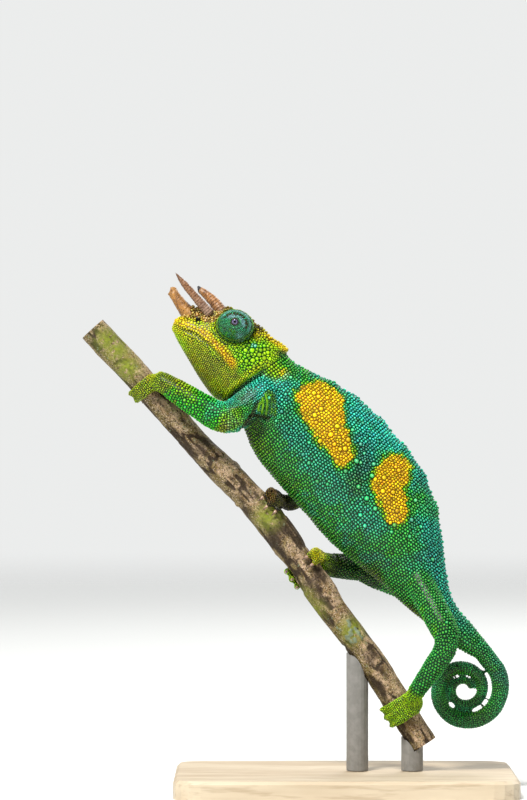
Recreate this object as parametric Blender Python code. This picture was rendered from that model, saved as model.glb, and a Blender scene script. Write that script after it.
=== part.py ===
"""A three-horned chameleon that climbs a cut length of branch, on a plain display stand.

The animal is life size and climbs toward -X, with its left side facing -Y and +Z up. Its middle
plane and the branch lie close to the XZ plane. Places are named in millimetres, as (x, z) in that
plane or as (x, y, z), and become metres when a mesh is made. Every sub-part is one closed body,
and neighbours meet face to face with a small gap.
"""

import math

import bmesh
import bpy
import numpy as np
from mathutils import Vector
from mathutils.bvhtree import BVHTree

MM = 0.001
GAP = 0.3                       # mm kept between two bodies that touch
STAND_RISE = 8.0                # mm taken off every height, so the stand's underside is at zero

# Sizes of the stand in millimetres
BASE_LENGTH = 124.0
BASE_WIDTH = 92.0
BASE_THICKNESS = 7.0
BASE_CORNER = 10.0
BASE_EDGE = 1.2
ROD_RADIUS = 4.0
ROD_PLACES = (4.5, 24.5)        # x of each rod

# Sections of the trunk, one row each: lower edge (x, z), upper edge (x, z), half width
TRUNK_SECTIONS = {
    "nape": ((-44.5, 149.8), (-21.6, 166.0), 8.0),
    "throat": ((-42.2, 146.0), (-17.5, 163.4), 8.6),
    "shoulder": ((-37.4, 140.6), (-12.8, 161.3), 9.6),
    "chest": ((-32.9, 130.3), (-2.6, 155.7), 10.8),
    "ribs": ((-23.4, 118.6), (9.5, 147.1), 12.3),
    "middle": ((-14.6, 108.8), (19.0, 136.9), 12.8),
    "flank": ((-5.5, 98.4), (26.6, 127.4), 12.0),
    "loin": ((3.3, 91.2), (32.1, 115.7), 10.4),
    "hip": ((12.0, 84.3), (35.0, 103.7), 8.8),
    "vent": ((19.3, 77.4), (36.6, 91.4), 7.0),
    "tail_root": ((26.4, 71.4), (38.2, 81.2), 5.8),
    "tail_upper": ((32.2, 66.6), (41.4, 74.4), 4.8),
    "tail_bend": ((39.6, 60.6), (47.2, 67.6), 4.2),
    "tail_lower": ((47.4, 56.2), (52.6, 61.2), 3.6),
}

# The tail's coil: a flat spiral of two turns whose centre lies under the tail's upper part
COIL_CENTRE = (43.6, 44.5)
COIL_START_ANGLE = 40.0         # degrees above +X
COIL_RADIUS = 14.0
COIL_TURNS = 2.1
COIL_PITCH_FIRST = 7.7
COIL_PITCH_EASE = 1.05
TAIL_RADIUS_AT_COIL = 3.4
TAIL_TAPER_PER_TURN = 1.05
TAIL_TIP_RADIUS = 0.7
TAIL_LEAN = 2.6                 # mm that the coil stands off toward +Y

# The branch, one row each: x and z of its axis and its radius
BRANCH_SECTIONS = (
    (-92.0, 176.4, 5.2), (-84.0, 167.6, 5.3), (-77.9, 161.4, 5.3), (-73.4, 156.3, 5.1),
    (-65.6, 147.4, 5.1), (-55.4, 135.7, 4.9), (-47.7, 127.8, 5.4), (-42.1, 122.2, 5.5),
    (-34.7, 114.5, 5.4), (-28.4, 107.6, 6.0), (-22.0, 99.5, 5.9), (-15.9, 91.0, 5.1),
    (-9.6, 81.6, 5.9), (-4.8, 73.9, 5.3), (1.1, 66.5, 5.2), (10.1, 54.3, 5.2),
    (17.0, 43.4, 5.3), (23.6, 32.6, 5.2), (28.4, 24.6, 5.3),
)

# The head's own frame: u runs back from the snout, v up from the mouth, w to the far side
HEAD_PITCH = math.radians(29.4)
HEAD_YAW = math.radians(4.0)
HEAD_ROLL = math.radians(-2.0)
SNOUT_TIP = (-63.3, 2.5, 178.1)

# Sections of the head: lower edge (u, v), upper edge (u, v), half width
HEAD_SECTIONS = (
    ((0.4, -0.9), (0.4, 1.8), 1.8),
    ((1.0, -1.7), (1.1, 4.0), 4.4),
    ((4.0, -3.8), (4.2, 6.6), 6.2),
    ((9.2, -7.0), (8.2, 9.4), 7.6),
    ((14.4, -10.0), (12.8, 12.8), 8.8),
    ((19.2, -12.6), (17.6, 14.8), 9.6),
    ((24.0, -14.9), (23.4, 14.8), 10.2),
    ((28.0, -16.1), (29.6, 13.7), 10.4),
    ((30.4, -15.6), (36.0, 13.9), 9.6),
    ((31.2, -14.4), (42.3, 13.2), 7.4),
)
MOUTH_LINE = ((25.5, -3.2), (21.5, -1.6), (17.0, -0.3), (11.3, 0.6), (6.2, 0.3))
MOUTH_FRONT_V = -0.4
MOUTH_TURN_U = 5.0
LIP_RISE = 1.1
LIP_RADIUS = 0.8
LIP_INSET = 0.5
MOUTH_GROOVE = 0.42
NOSTRIL_PLACE = (8.2, 5.8)
NOSTRIL_RADIUS = 0.8
NOSTRIL_DEPTH = 1.2
NOSTRIL_TAPER = 0.7             # the pit's inner end against its mouth
LIP_AIM = 12.0                  # u toward which the lips are drawn in
SIDE_REACH = 25.0               # w from which the head's side is looked for
FRONT_TURNS = (-56, -28, 0, 28, 56)     # degrees round the snout of the mouth's front points
HEAD_TOP_POWER = 0.82
HEAD_LOW_POWER = 0.92
HEAD_EGG = (0.02, 0.10)         # how much narrower the head's upper half is at the ends and the middle
CREST_LINE = ((15.2, 14.0, 5.0), (18.8, 15.5, 5.4), (22.6, 15.4, 5.4), (27.0, 14.4, 5.0),
              (31.4, 13.3, 4.5), (36.0, 13.1, 3.6), (40.0, 12.8, 2.2))
CREST_RADIUS = 1.2
CREST_SINK = 0.7                # how far the crest's axis lies under its line
CREST_WAVE = 0.18               # share by which the crest swells and narrows along its length

TURRET_PLACE = (21.3, 10.0)     # u, v of the turret's axis on the head's side
TURRET_BASE = 4.4               # mm from the middle plane to the turret's sunk foot
TURRET_PROFILE = ((0.0, 6.9), (3.8, 6.8), (5.6, 6.35), (7.4, 5.2), (8.7, 3.75), (9.5, 2.5), (9.9, 1.75))
TURRET_ASPECT = 0.88            # height over length of the turret's outline
EYEBALL_RADIUS = 1.75
EYEBALL_DEPTH = 8.8
GAZE = (-0.4, 1.4)              # u, v that the turret's tip leans back and up

# Horns in the head's frame: foot, tip, radius at foot, middle and end, rings, upward bow
HORNS = {
    "horn_rostral": ((6.4, 5.4, 0.0), (-6.5, 10.9, 0.2), (3.3, 2.35, 1.9), 5, -0.4),
    "horn_left": ((11.4, 9.8, -5.0), (-7.5, 16.7, -6.4), (1.95, 1.5, 0.35), 9, -0.2),
    "horn_right": ((14.8, 12.2, 4.8), (1.2, 16.4, 6.0), (2.6, 1.95, 1.1), 8, 0.9),
}
HORN_RING = 0.09
HORN_SHARES = (0.0, 0.35, 0.75, 1.0)    # where along a horn its radii are set
HORN_SWELL = (1.12, 0.85)               # the middle radius is scaled by these on its two sides

# Limbs: root, joint, wrist or ankle as (x, y, z), with the radius at each
LIMBS = {
    "left_arm": (((-27.5, -4.5, 154.0), 6.4), ((-43.2, -12.0, 142.2), 6.0), ((-66.2, -8.8, 156.8), 4.0)),
    "right_arm": (((-27.5, 5.0, 150.5), 5.4), ((-12.6, 19.5, 131.5), 4.6), ((-17.2, 9.6, 114.6), 3.3)),
    "left_leg": (((24.5, -2.0, 88.5), 5.6), ((38.0, -17.5, 63.0), 4.4), ((25.6, -10.6, 44.6), 3.2)),
    "right_leg": (((22.8, 2.5, 82.0), 5.2), ((5.6, 17.0, 88.0), 4.2), ((-4.2, 8.8, 89.6), 4.2)),
}
LIMB_NAMES = {
    "left_arm": ("upper_arm_left", "forearm_left", "hand_left"),
    "right_arm": ("upper_arm_right", "forearm_right", "hand_right"),
    "left_leg": ("thigh_left", "shin_left", "foot_left"),
    "right_leg": ("thigh_right", "shin_right", "foot_right"),
}
JOINT_ROUNDING = 7.0
JOINT_SHARE = 0.45              # a joint's rounding takes at most this share of each length
LIMB_SWELL = 0.25               # mm that each length is thicker halfway

# Grips: x on the branch's axis and the palm's angle round it, then for each bundle of toes their
# number, the angle at which they end and how far they stand along the branch from the palm.
# Angles are in degrees from the branch's upper side toward the left.
GRIPS = {
    "left_arm": (-71.0, 52.0, (2, 168.0, -2.2), (3, -118.0, 1.4)),
    "right_arm": (-30.2, -34.0, (3, 62.0, 0.0), (2, -126.0, 0.0)),
    "left_leg": (20.6, 44.0, (3, 172.0, 0.0), (2, -118.0, 0.0)),
    "right_leg": (-14.6, -38.0, (2, 60.0, -1.0), (3, -190.0, 1.2)),
}
TOE_RADIUS = 1.9
TOE_SPACING = 3.4
TOE_STEP_BACK = 10.0            # degrees that an outer toe of a bundle ends short
TOE_TAPER = 0.38                # share of its radius that a toe loses toward its tip
TOE_END = 0.42                  # radius of a toe's rounded end against its root
TOE_CLEARANCE = 1.02            # a toe's axis stands this share of its radius off the bark
TOE_SPREAD = 0.8                # how far apart toes are at their roots against their tips
CLAW_LENGTH = 2.4
CLAW_RADIUS = 0.55
PALM_RADIUS = 3.4
PALM_RADII = (2.6, 4.0, 3.8)    # out from the branch, along it and round it
PALM_LIFT = 0.72                # how far the palm's middle stands off the bark, against its radius
SLEEVE = ((0.3, 1.02), (0.6, 1.0), (0.85, 0.8), (1.0, 0.62))    # share of the way to the palm, and thickness
CLAW_STEPS = 2
CLAW_ROOT = 0.35                # how far past a toe's end its claw starts, against the toe's radius
CLAW_TAPER = 0.8
CLAW_TURN = 1.0                 # mm that a claw's point turns in toward the bark

NECK_SHRINK = 0.93              # the neck's first section against the back of the head

# Numbers of sides round each kind of body
TRUNK_SIDES = 24
TAIL_SIDES = 12
HEAD_SIDES = 24                 # as many as the trunk's, because the neck starts on the head's last ring
LIMB_SIDES = 12
TOE_SIDES = 7
HORN_SIDES = 10
BRANCH_SIDES = 12
BARK_WAVES = ((0.035, 3, 0.9), (0.03, 5, -1.7))     # height, lobes round the branch, drift along it


def place(x, z, y=0.0):
    """A point of the millimetre layout, as an array in millimetres above the stand's underside."""
    return np.array((x, y, z - STAND_RISE), dtype=float)


def smooth_chain(rows, steps):
    """Rows of numbers run through a Catmull-Rom curve, with that many steps to each span."""
    rows = np.array(rows, dtype=float)
    first = 2 * rows[0] - rows[1]
    last = 2 * rows[-1] - rows[-2]
    padded = np.vstack((first, rows, last))
    chain = []
    for index in range(len(rows) - 1):
        a, b, c, d = padded[index:index + 4]
        for step in range(steps):
            t = step / steps
            chain.append(0.5 * (2 * b + (c - a) * t + (2 * a - 5 * b + 4 * c - d) * t ** 2
                                + (3 * b - a - 3 * c + d) * t ** 3))
    chain.append(rows[-1])
    return chain


def body_from_rings(name, rings):
    """A closed body whose skin runs through the rings, flat at both ends."""
    mesh = bpy.data.meshes.new(name)
    bm = bmesh.new()
    layers = [[bm.verts.new(Vector(point) * MM) for point in ring] for ring in rings]
    sides = len(rings[0])
    for lower, upper in zip(layers, layers[1:]):
        for index in range(sides):
            after = (index + 1) % sides
            bm.faces.new((lower[index], lower[after], upper[after], upper[index]))
    bm.faces.new(layers[0][::-1])
    bm.faces.new(layers[-1])
    bmesh.ops.triangulate(bm, faces=bm.faces)
    bmesh.ops.recalc_face_normals(bm, faces=bm.faces)
    bm.to_mesh(mesh)
    bm.free()
    body = bpy.data.objects.new(name, mesh)
    bpy.context.collection.objects.link(body)
    return body


def discard(bodies):
    """Remove helper bodies once they have been used."""
    for body in bodies:
        bpy.data.objects.remove(body)


def grown_copy(body, gap=GAP):
    """A copy of a body with its skin moved out by the gap."""
    copy = bpy.data.objects.new(body.name + "_grown", body.data.copy())
    bpy.context.collection.objects.link(copy)
    bm = bmesh.new()
    bm.from_mesh(copy.data)
    bm.normal_update()
    moves = [vert.normal * vert.calc_shell_factor() * gap * MM for vert in bm.verts]
    for vert, move in zip(bm.verts, moves):
        vert.co += move
    bm.to_mesh(copy.data)
    bm.free()
    return copy


def keep_largest(mesh):
    """Leave only the largest closed surface of a mesh."""
    bm = bmesh.new()
    bm.from_mesh(mesh)
    unseen = set(bm.faces)
    shells = []
    while unseen:
        front = [unseen.pop()]
        shell = list(front)
        while front:
            face = front.pop()
            for edge in face.edges:
                for other in edge.link_faces:
                    if other in unseen:
                        unseen.remove(other)
                        front.append(other)
                        shell.append(other)
        shells.append(shell)
    shells.sort(key=lambda shell: sum(face.calc_area() for face in shell))
    scraps = [face for shell in shells[:-1] for face in shell]
    bmesh.ops.delete(bm, geom=scraps, context="FACES")
    bmesh.ops.triangulate(bm, faces=bm.faces)
    bm.to_mesh(mesh)
    bm.free()


def combine(body, others, operation):
    """Join other bodies to one, or cut them from it, and remove them."""
    for other in others:
        modifier = body.modifiers.new("combine", "BOOLEAN")
        modifier.operation = operation
        modifier.solver = "EXACT"
        modifier.object = other
    depsgraph = bpy.context.evaluated_depsgraph_get()
    mesh = bpy.data.meshes.new_from_object(body.evaluated_get(depsgraph))
    body.modifiers.clear()
    mesh.name = body.name
    body.data = mesh
    keep_largest(mesh)
    discard(others)
    return body


def material(name, colour, roughness, metallic=0.0):
    """A plain finish for one sub-part."""
    finish = bpy.data.materials.new(name)
    finish.use_nodes = True
    shader = finish.node_tree.nodes["Principled BSDF"]
    shader.inputs["Base Color"].default_value = (*colour, 1.0)
    shader.inputs["Roughness"].default_value = roughness
    shader.inputs["Metallic"].default_value = metallic
    return finish


def round_ring(centre, axis_a, axis_b, radius_a, radius_b, sides):
    """Points of an ellipse round a centre."""
    ring = []
    for index in range(sides):
        angle = 2 * math.pi * index / sides
        ring.append(centre + axis_a * radius_a * math.cos(angle) + axis_b * radius_b * math.sin(angle))
    return ring


def unit(vector):
    return vector / np.linalg.norm(vector)


def swept_rings(centres, radii, sides, start_side):
    """Rings of a round body along a path, each set across the path's direction there."""
    centres = [np.array(centre, dtype=float) for centre in centres]
    rings = []
    side = np.array(start_side, dtype=float)
    for index, centre in enumerate(centres):
        before = centres[max(index - 1, 0)]
        after = centres[min(index + 1, len(centres) - 1)]
        along = unit(after - before)
        side = unit(side - along * np.dot(side, along))
        rings.append(round_ring(centre, side, np.cross(along, side), radii[index], radii[index], sides))
    return rings


def section_ring(lower, upper, half_width, across, sides, top_power, low_power, egg):
    """A cross-section of the trunk or head: a rounded oval between its lower and upper edge."""
    centre = (lower + upper) / 2
    rise = (upper - lower) / 2
    ring = []
    for index in range(sides):
        angle = 2 * math.pi * index / sides
        up = math.cos(angle)
        power = top_power if up > 0 else low_power
        sideways = math.copysign(abs(math.sin(angle)) ** power, math.sin(angle))
        ring.append(centre + rise * up + across * half_width * sideways * (1 - egg * up))
    return ring


def trunk_rows():
    """Rows of the trunk from the nape to the end of the tail, with the index where each part starts."""
    spans = 3
    flat = []
    for (low_x, low_z), (top_x, top_z), half_width in TRUNK_SECTIONS.values():
        flat.append((low_x, low_z, top_x, top_z, half_width, 0.0))
    rows = smooth_chain(flat, spans)
    starts = {name: index * spans for index, name in enumerate(TRUNK_SECTIONS)}
    turn_steps = 16
    count = int(COIL_TURNS * turn_steps)
    for step in range(1, count + 1):
        turns = COIL_TURNS * step / count
        angle = math.radians(COIL_START_ANGLE) - 2 * math.pi * turns
        radius = COIL_RADIUS - COIL_PITCH_FIRST * turns + COIL_PITCH_EASE * turns ** 2
        thick = max(TAIL_RADIUS_AT_COIL - TAIL_TAPER_PER_TURN * turns, TAIL_TIP_RADIUS)
        if step == count:
            thick = TAIL_TIP_RADIUS
        outward = np.array((math.cos(angle), math.sin(angle)))
        centre = np.array(COIL_CENTRE) + outward * radius
        lower = centre - outward * thick
        upper = centre + outward * thick
        lean = TAIL_LEAN * min(turns / 0.5, 1.0)
        rows.append(np.array((*lower, *upper, thick, lean)))
    starts["coil"] = len(TRUNK_SECTIONS) * spans - spans + 1
    return rows, starts, count


def trunk_ring(row, sides, ridge):
    """One ring of the trunk, with a keel of the back as sharp as ridge says."""
    low_x, low_z, top_x, top_z, half_width, lean = row
    across = np.array((0.0, 1.0, 0.0))
    return section_ring(place(low_x, low_z, lean), place(top_x, top_z, lean), half_width, across, sides,
                        1.0 + 0.25 * ridge, 1.0 + 0.05 * ridge, 0.10 * ridge)


def stepped_off(ring, along, distance=GAP):
    """A ring moved along a direction."""
    return [point + along * distance for point in ring]


def neck_rings(rings, head_back_ring):
    """The neck's rings turned gradually from the back of the head to the trunk's own direction."""
    start = np.mean(rings[0], axis=0)
    last = len(rings) - 1
    foot = head_back_ring[len(head_back_ring) // 2]
    head_back_ring = [foot + (point - foot) * NECK_SHRINK for point in head_back_ring]
    turned = []
    for index, ring in enumerate(rings):
        share = index / last
        share = share * share * (3 - 2 * share)
        travel = np.mean(ring, axis=0) - start
        turned.append([old * share + (from_head + travel) * (1 - share)
                       for old, from_head in zip(ring, head_back_ring)])
    return turned


def make_trunk(head_back_ring):
    """Neck, torso and tail as lengths of one smooth body, split by flat gaps."""
    rows, starts, coil_steps = trunk_rows()
    coil = starts["coil"]
    quarter = coil_steps // 6
    cuts = (
        ("neck", starts["nape"], starts["shoulder"]),
        ("torso_front", starts["shoulder"], starts["middle"]),
        ("torso_rear", starts["middle"], starts["hip"]),
        ("pelvis", starts["hip"], starts["tail_root"]),
        ("tail_base", starts["tail_root"], starts["tail_lower"]),
        ("tail_coil_1", starts["tail_lower"], coil + quarter - 1),
        ("tail_coil_2", coil + quarter - 1, coil + 2 * quarter - 1),
        ("tail_coil_3", coil + 2 * quarter - 1, coil + 3 * quarter - 1),
        ("tail_coil_4", coil + 3 * quarter - 1, coil + 4 * quarter + 1),
        ("tail_tip", coil + 4 * quarter + 1, len(rows) - 1),
    )
    bodies = {}
    for name, first, last in cuts:
        on_tail = name.startswith("tail")
        sides = TAIL_SIDES if on_tail else TRUNK_SIDES
        rings = []
        for index in range(first, last + 1):
            ridge = np.clip((starts["tail_root"] + 2 - index) / 6.0, 0.0, 1.0)
            rings.append(trunk_ring(rows[index], sides, ridge))
        if name == "neck":
            rings = neck_rings(rings, head_back_ring)
        along = unit(np.cross(rings[0][0] - rings[0][sides // 2], rings[0][sides // 4] - rings[0][0]))
        if np.dot(along, np.mean(rings[1], axis=0) - np.mean(rings[0], axis=0)) < 0:
            along = -along
        rings[0] = stepped_off(rings[0], along)
        bodies[name] = body_from_rings(name, rings)
    return bodies


def head_axes():
    """The head's back, up and far directions after it turns away and rolls a little."""
    level = np.array((math.cos(HEAD_PITCH), 0.0, -math.sin(HEAD_PITCH)))
    far = np.array((0.0, 1.0, 0.0))
    up = np.array((math.sin(HEAD_PITCH), 0.0, math.cos(HEAD_PITCH)))
    back = level * math.cos(HEAD_YAW) - far * math.sin(HEAD_YAW)
    turned_far = level * math.sin(HEAD_YAW) + far * math.cos(HEAD_YAW)
    rolled_far = turned_far * math.cos(HEAD_ROLL) + up * math.sin(HEAD_ROLL)
    rolled_up = up * math.cos(HEAD_ROLL) - turned_far * math.sin(HEAD_ROLL)
    return back, rolled_up, rolled_far


BACK, UP, FAR = head_axes()
SNOUT = place(SNOUT_TIP[0], SNOUT_TIP[2], SNOUT_TIP[1])


def head_point(u, v, w=0.0):
    """A point given in the head's own frame."""
    return SNOUT + BACK * u + UP * v + FAR * w


def tube_body(name, points, radius, sides, start_side):
    """A round body of even thickness along a path."""
    return body_from_rings(name, swept_rings(points, [radius] * len(points), sides, start_side))


def blob(name, centre, radii, axes, rings=6, sides=10):
    """An egg-shaped closed body."""
    layers = []
    for index in range(1, rings):
        angle = math.pi * index / rings
        middle = centre + axes[0] * radii[0] * math.cos(angle)
        spread = math.sin(angle)
        layers.append(round_ring(middle, axes[1], axes[2], radii[1] * spread, radii[2] * spread, sides))
    return body_from_rings(name, layers)


def skin_tree(body):
    return BVHTree.FromObject(body, bpy.context.evaluated_depsgraph_get())


def on_skin(tree, start, direction):
    """The point in millimetres where a ray from start meets a body's skin."""
    hit = tree.ray_cast(Vector(start) * MM, Vector(direction))[0]
    return np.array(hit) / MM


def mouth_path(tree, rise):
    """The line of the mouth from one corner round the snout to the other, on the head's skin."""
    near_side = []
    far_side = []
    for u, v in MOUTH_LINE:
        near_side.append(on_skin(tree, head_point(u, v + rise, -SIDE_REACH), FAR))
        far_side.append(on_skin(tree, head_point(u, v + rise, SIDE_REACH), -FAR))
    front = []
    for degrees in FRONT_TURNS:
        turn = math.radians(degrees)
        direction = -BACK * math.cos(turn) + FAR * math.sin(turn)
        front.append(on_skin(tree, head_point(MOUTH_TURN_U, MOUTH_FRONT_V + rise), direction))
    return near_side + front + far_side[::-1]


def make_head():
    """The head with casque, brow crests, lips, the line of the mouth and the nostrils."""
    spans = 2
    flat = []
    for (low_u, low_v), (top_u, top_v), half_width in HEAD_SECTIONS:
        flat.append((low_u, low_v, top_u, top_v, half_width))
    rings = []
    rows = smooth_chain(flat, spans)
    for index, (low_u, low_v, top_u, top_v, half_width) in enumerate(rows):
        back_share = index / (len(rows) - 1)
        egg = HEAD_EGG[0] + HEAD_EGG[1] * math.sin(math.pi * back_share)
        rings.append(section_ring(head_point(low_u, low_v), head_point(top_u, top_v), half_width, FAR,
                                  HEAD_SIDES, HEAD_TOP_POWER, HEAD_LOW_POWER, egg))
    rings_at_back = rings[-1]
    head = body_from_rings("head", rings)
    obstacle = grown_copy(head)
    grown_crests = []
    tree = skin_tree(head)
    additions = []
    for rise in (LIP_RISE, -LIP_RISE):
        path = mouth_path(tree, rise)
        inset = [point - unit(point - head_point(LIP_AIM, rise)) * LIP_INSET for point in path]
        additions.append(tube_body("lip", inset, LIP_RADIUS, 5, UP))
    for side in (-1, 1):
        crest = smooth_chain([(u, v, w * side) for u, v, w in CREST_LINE], 1)
        path = [head_point(u, v - CREST_SINK, w) for u, v, w in crest]
        radii = [CREST_RADIUS * (1.0 + CREST_WAVE * math.cos(math.pi * index)) for index in range(len(path))]
        additions.append(body_from_rings("crest", swept_rings(path, radii, 5, UP)))
        grown_crests.append(grown_copy(additions[-1]))
    combine(head, additions, "UNION")
    groove = tube_body("groove", mouth_path(skin_tree(head), 0.0), MOUTH_GROOVE, 4, UP)
    pits = [groove]
    for side in (-1, 1):
        u, v = NOSTRIL_PLACE
        mouth_of_pit = on_skin(skin_tree(head), head_point(u, v, SIDE_REACH * side), -FAR * side)
        inner = mouth_of_pit - FAR * side * NOSTRIL_DEPTH
        outer = mouth_of_pit + FAR * side * NOSTRIL_DEPTH
        rings = swept_rings((inner, outer), (NOSTRIL_RADIUS * NOSTRIL_TAPER, NOSTRIL_RADIUS), 8, UP)
        pits.append(body_from_rings("nostril", rings))
    combine(head, pits, "DIFFERENCE")
    combine(obstacle, grown_crests, "UNION")
    return obstacle, rings_at_back


def make_eye(side, word, guards):
    """A turret of fused lids with a small opening, and the eyeball that looks out of it."""
    u, v = TURRET_PLACE
    lean_u, lean_v = GAZE
    rings = []
    outward = FAR * side
    for height, radius in TURRET_PROFILE:
        share = (height / TURRET_PROFILE[-1][0]) ** 2
        centre = head_point(u + lean_u * share, v + lean_v * share) + outward * (TURRET_BASE + height)
        squash = TURRET_ASPECT + (1 - TURRET_ASPECT) * share
        rings.append(round_ring(centre, BACK, UP, radius, radius * squash, 18))
    turret = body_from_rings("eye_turret_" + word, rings)
    middle = head_point(u + lean_u, v + lean_v) + outward * (TURRET_BASE + EYEBALL_DEPTH)
    axes = (outward, BACK, UP)
    socket_radius = EYEBALL_RADIUS + GAP
    socket = blob("socket", middle, (socket_radius,) * 3, axes, 6, 10)
    throat_rings = swept_rings((middle, middle + outward * 4), (socket_radius * 0.85, socket_radius), 10, UP)
    throat = body_from_rings("socket_mouth", throat_rings)
    cutters = [grown_copy(body, 0.0) for body in guards]
    combine(turret, cutters + [socket, throat], "DIFFERENCE")
    blob("eyeball_" + word, middle, (EYEBALL_RADIUS,) * 3, axes, 7, 12)
    return turret


def make_horns(head_obstacle):
    """The horn on the snout and one before each eye, ringed and slightly bowed.

    Returns a grown copy of each whole horn, for what must keep clear of it.
    """
    guards = []
    for name, (foot, tip, radii, ring_count, bow) in HORNS.items():
        foot_at = head_point(*foot)
        tip_at = head_point(*tip)
        steps = ring_count * 2
        centres = []
        sizes = []
        for step in range(steps + 1):
            t = step / steps
            centres.append(foot_at + (tip_at - foot_at) * t + UP * bow * math.sin(math.pi * t))
            widths = (radii[0], radii[1] * HORN_SWELL[0], radii[1] * HORN_SWELL[1], radii[2])
            wide = np.interp(t, HORN_SHARES, widths)
            sizes.append(wide * (1 + HORN_RING * math.cos(math.pi * step) * (1 - t)))
        horn = body_from_rings(name, swept_rings(centres, sizes, HORN_SIDES, FAR))
        guards.append(grown_copy(horn))
        combine(horn, [grown_copy(head_obstacle, 0.0)], "DIFFERENCE")
    return guards


def limb_path(root, joint, end):
    """Centres along a limb, rounded at its joint, with the index of the joint."""
    root, joint, end = (place(point[0], point[2], point[1]) for point in (root, joint, end))
    reach_in = min(JOINT_ROUNDING, JOINT_SHARE * np.linalg.norm(joint - root))
    reach_out = min(JOINT_ROUNDING, JOINT_SHARE * np.linalg.norm(end - joint))
    start = joint - unit(joint - root) * reach_in
    finish = joint + unit(end - joint) * reach_out
    centres = [root, (root + start) / 2]
    for step in range(5):
        t = step / 4
        centres.append(start * (1 - t) ** 2 + joint * 2 * t * (1 - t) + finish * t ** 2)
    for share in (1 / 3, 2 / 3, 1.0):
        centres.append(finish + (end - finish) * share)
    return centres, 4


def make_limb(key, obstacles):
    """Upper and lower length of one limb, and the ring at its wrist or ankle."""
    (root, root_radius), (joint, joint_radius), (end, end_radius) = LIMBS[key]
    centres, middle = limb_path(root, joint, end)
    last = len(centres) - 1
    radii = []
    for index in range(len(centres)):
        if index <= middle:
            share = index / middle
            swell = LIMB_SWELL * math.sin(math.pi * share)
            radii.append(root_radius + (joint_radius - root_radius) * share + swell)
        else:
            share = (index - middle) / (last - middle)
            swell = LIMB_SWELL * math.sin(math.pi * share)
            radii.append(joint_radius + (end_radius - joint_radius) * share + swell)
    rings = swept_rings(centres, radii, LIMB_SIDES, (0.0, 1.0, 0.2))
    upper_name, lower_name, end_name = LIMB_NAMES[key]
    upper = body_from_rings(upper_name, rings[:middle + 1])
    along = unit(centres[middle + 1] - centres[middle - 1])
    lower_rings = [stepped_off(rings[middle], along)] + rings[middle + 1:]
    lower = body_from_rings(lower_name, lower_rings)
    guard = grown_copy(lower)
    combine(upper, [grown_copy(body) for body in obstacles], "DIFFERENCE")
    combine(lower, [grown_copy(body) for body in obstacles], "DIFFERENCE")
    return guard, rings[-1], unit(centres[-1] - centres[-2]), end_name


def branch_rows(steps):
    """Centres and radii along the branch's axis."""
    centres = []
    radii = []
    for x, z, radius in smooth_chain(BRANCH_SECTIONS, steps):
        centres.append(place(x, z))
        radii.append(radius)
    return centres, radii


def branch_frame(x):
    """Axis point, direction, upper side and radius of the branch at one x."""
    centres, radii = branch_rows(6)
    index = min(range(1, len(centres) - 1), key=lambda i: abs(centres[i][0] - x))
    along = unit(centres[index + 1] - centres[index - 1])
    above = np.array((-along[2], 0.0, along[0]))
    return centres[index], along, above, radii[index]


def make_perch():
    """The cut length of branch that the animal grips."""
    centres, radii = branch_rows(1)
    rings = []
    side = np.array((0.0, 1.0, 0.0))
    for index, centre in enumerate(centres):
        before = centres[max(index - 1, 0)]
        after = centres[min(index + 1, len(centres) - 1)]
        along = unit(after - before)
        above = np.cross(along, side)
        ring = []
        for step in range(BRANCH_SIDES):
            angle = 2 * math.pi * step / BRANCH_SIDES
            bark = 1.0
            for height, lobes, drift in BARK_WAVES:
                bark += height * math.sin(lobes * angle + index * drift)
            ring.append(centre + (side * math.cos(angle) + above * math.sin(angle)) * radii[index] * bark)
        rings.append(ring)
    return body_from_rings("perch", rings)


def toe(grip_frame, start_angle, end_angle, offset, radius):
    """One toe bent round the branch, with its claw, as two bodies to be joined."""
    centre, along, above, branch_radius = grip_frame
    near = np.array((0.0, -1.0, 0.0))
    steps = 5
    points = []
    radii = []
    for step in range(steps + 1):
        t = step / steps
        angle = math.radians(start_angle + (end_angle - start_angle) * t)
        distance = branch_radius + radius * (TOE_CLEARANCE - TOE_TAPER * t)
        outward = above * math.cos(angle) + near * math.sin(angle)
        points.append(centre + along * offset * (TOE_SPREAD + (1 - TOE_SPREAD) * t) + outward * distance)
        radii.append(radius * (1.0 - TOE_TAPER * t))
    points.append(points[-1] + unit(points[-1] - points[-2]) * radius * TOE_END)
    radii.append(radius * TOE_END)
    finger = body_from_rings("toe", swept_rings(points, radii, TOE_SIDES, along))
    reach = unit(points[-1] - points[-3])
    inward = unit(centre + along * offset - points[-1])
    root = points[-2]
    claw_points = []
    claw_radii = []
    for step in range(CLAW_STEPS + 1):
        t = step / CLAW_STEPS
        forward = reach * (radius * CLAW_ROOT + CLAW_LENGTH * t)
        claw_points.append(root + forward + inward * CLAW_TURN * t ** 2)
        claw_radii.append(CLAW_RADIUS * (1 - CLAW_TAPER * t))
    claw = body_from_rings("claw", swept_rings(claw_points, claw_radii, 5, along))
    return [finger, claw]


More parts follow.
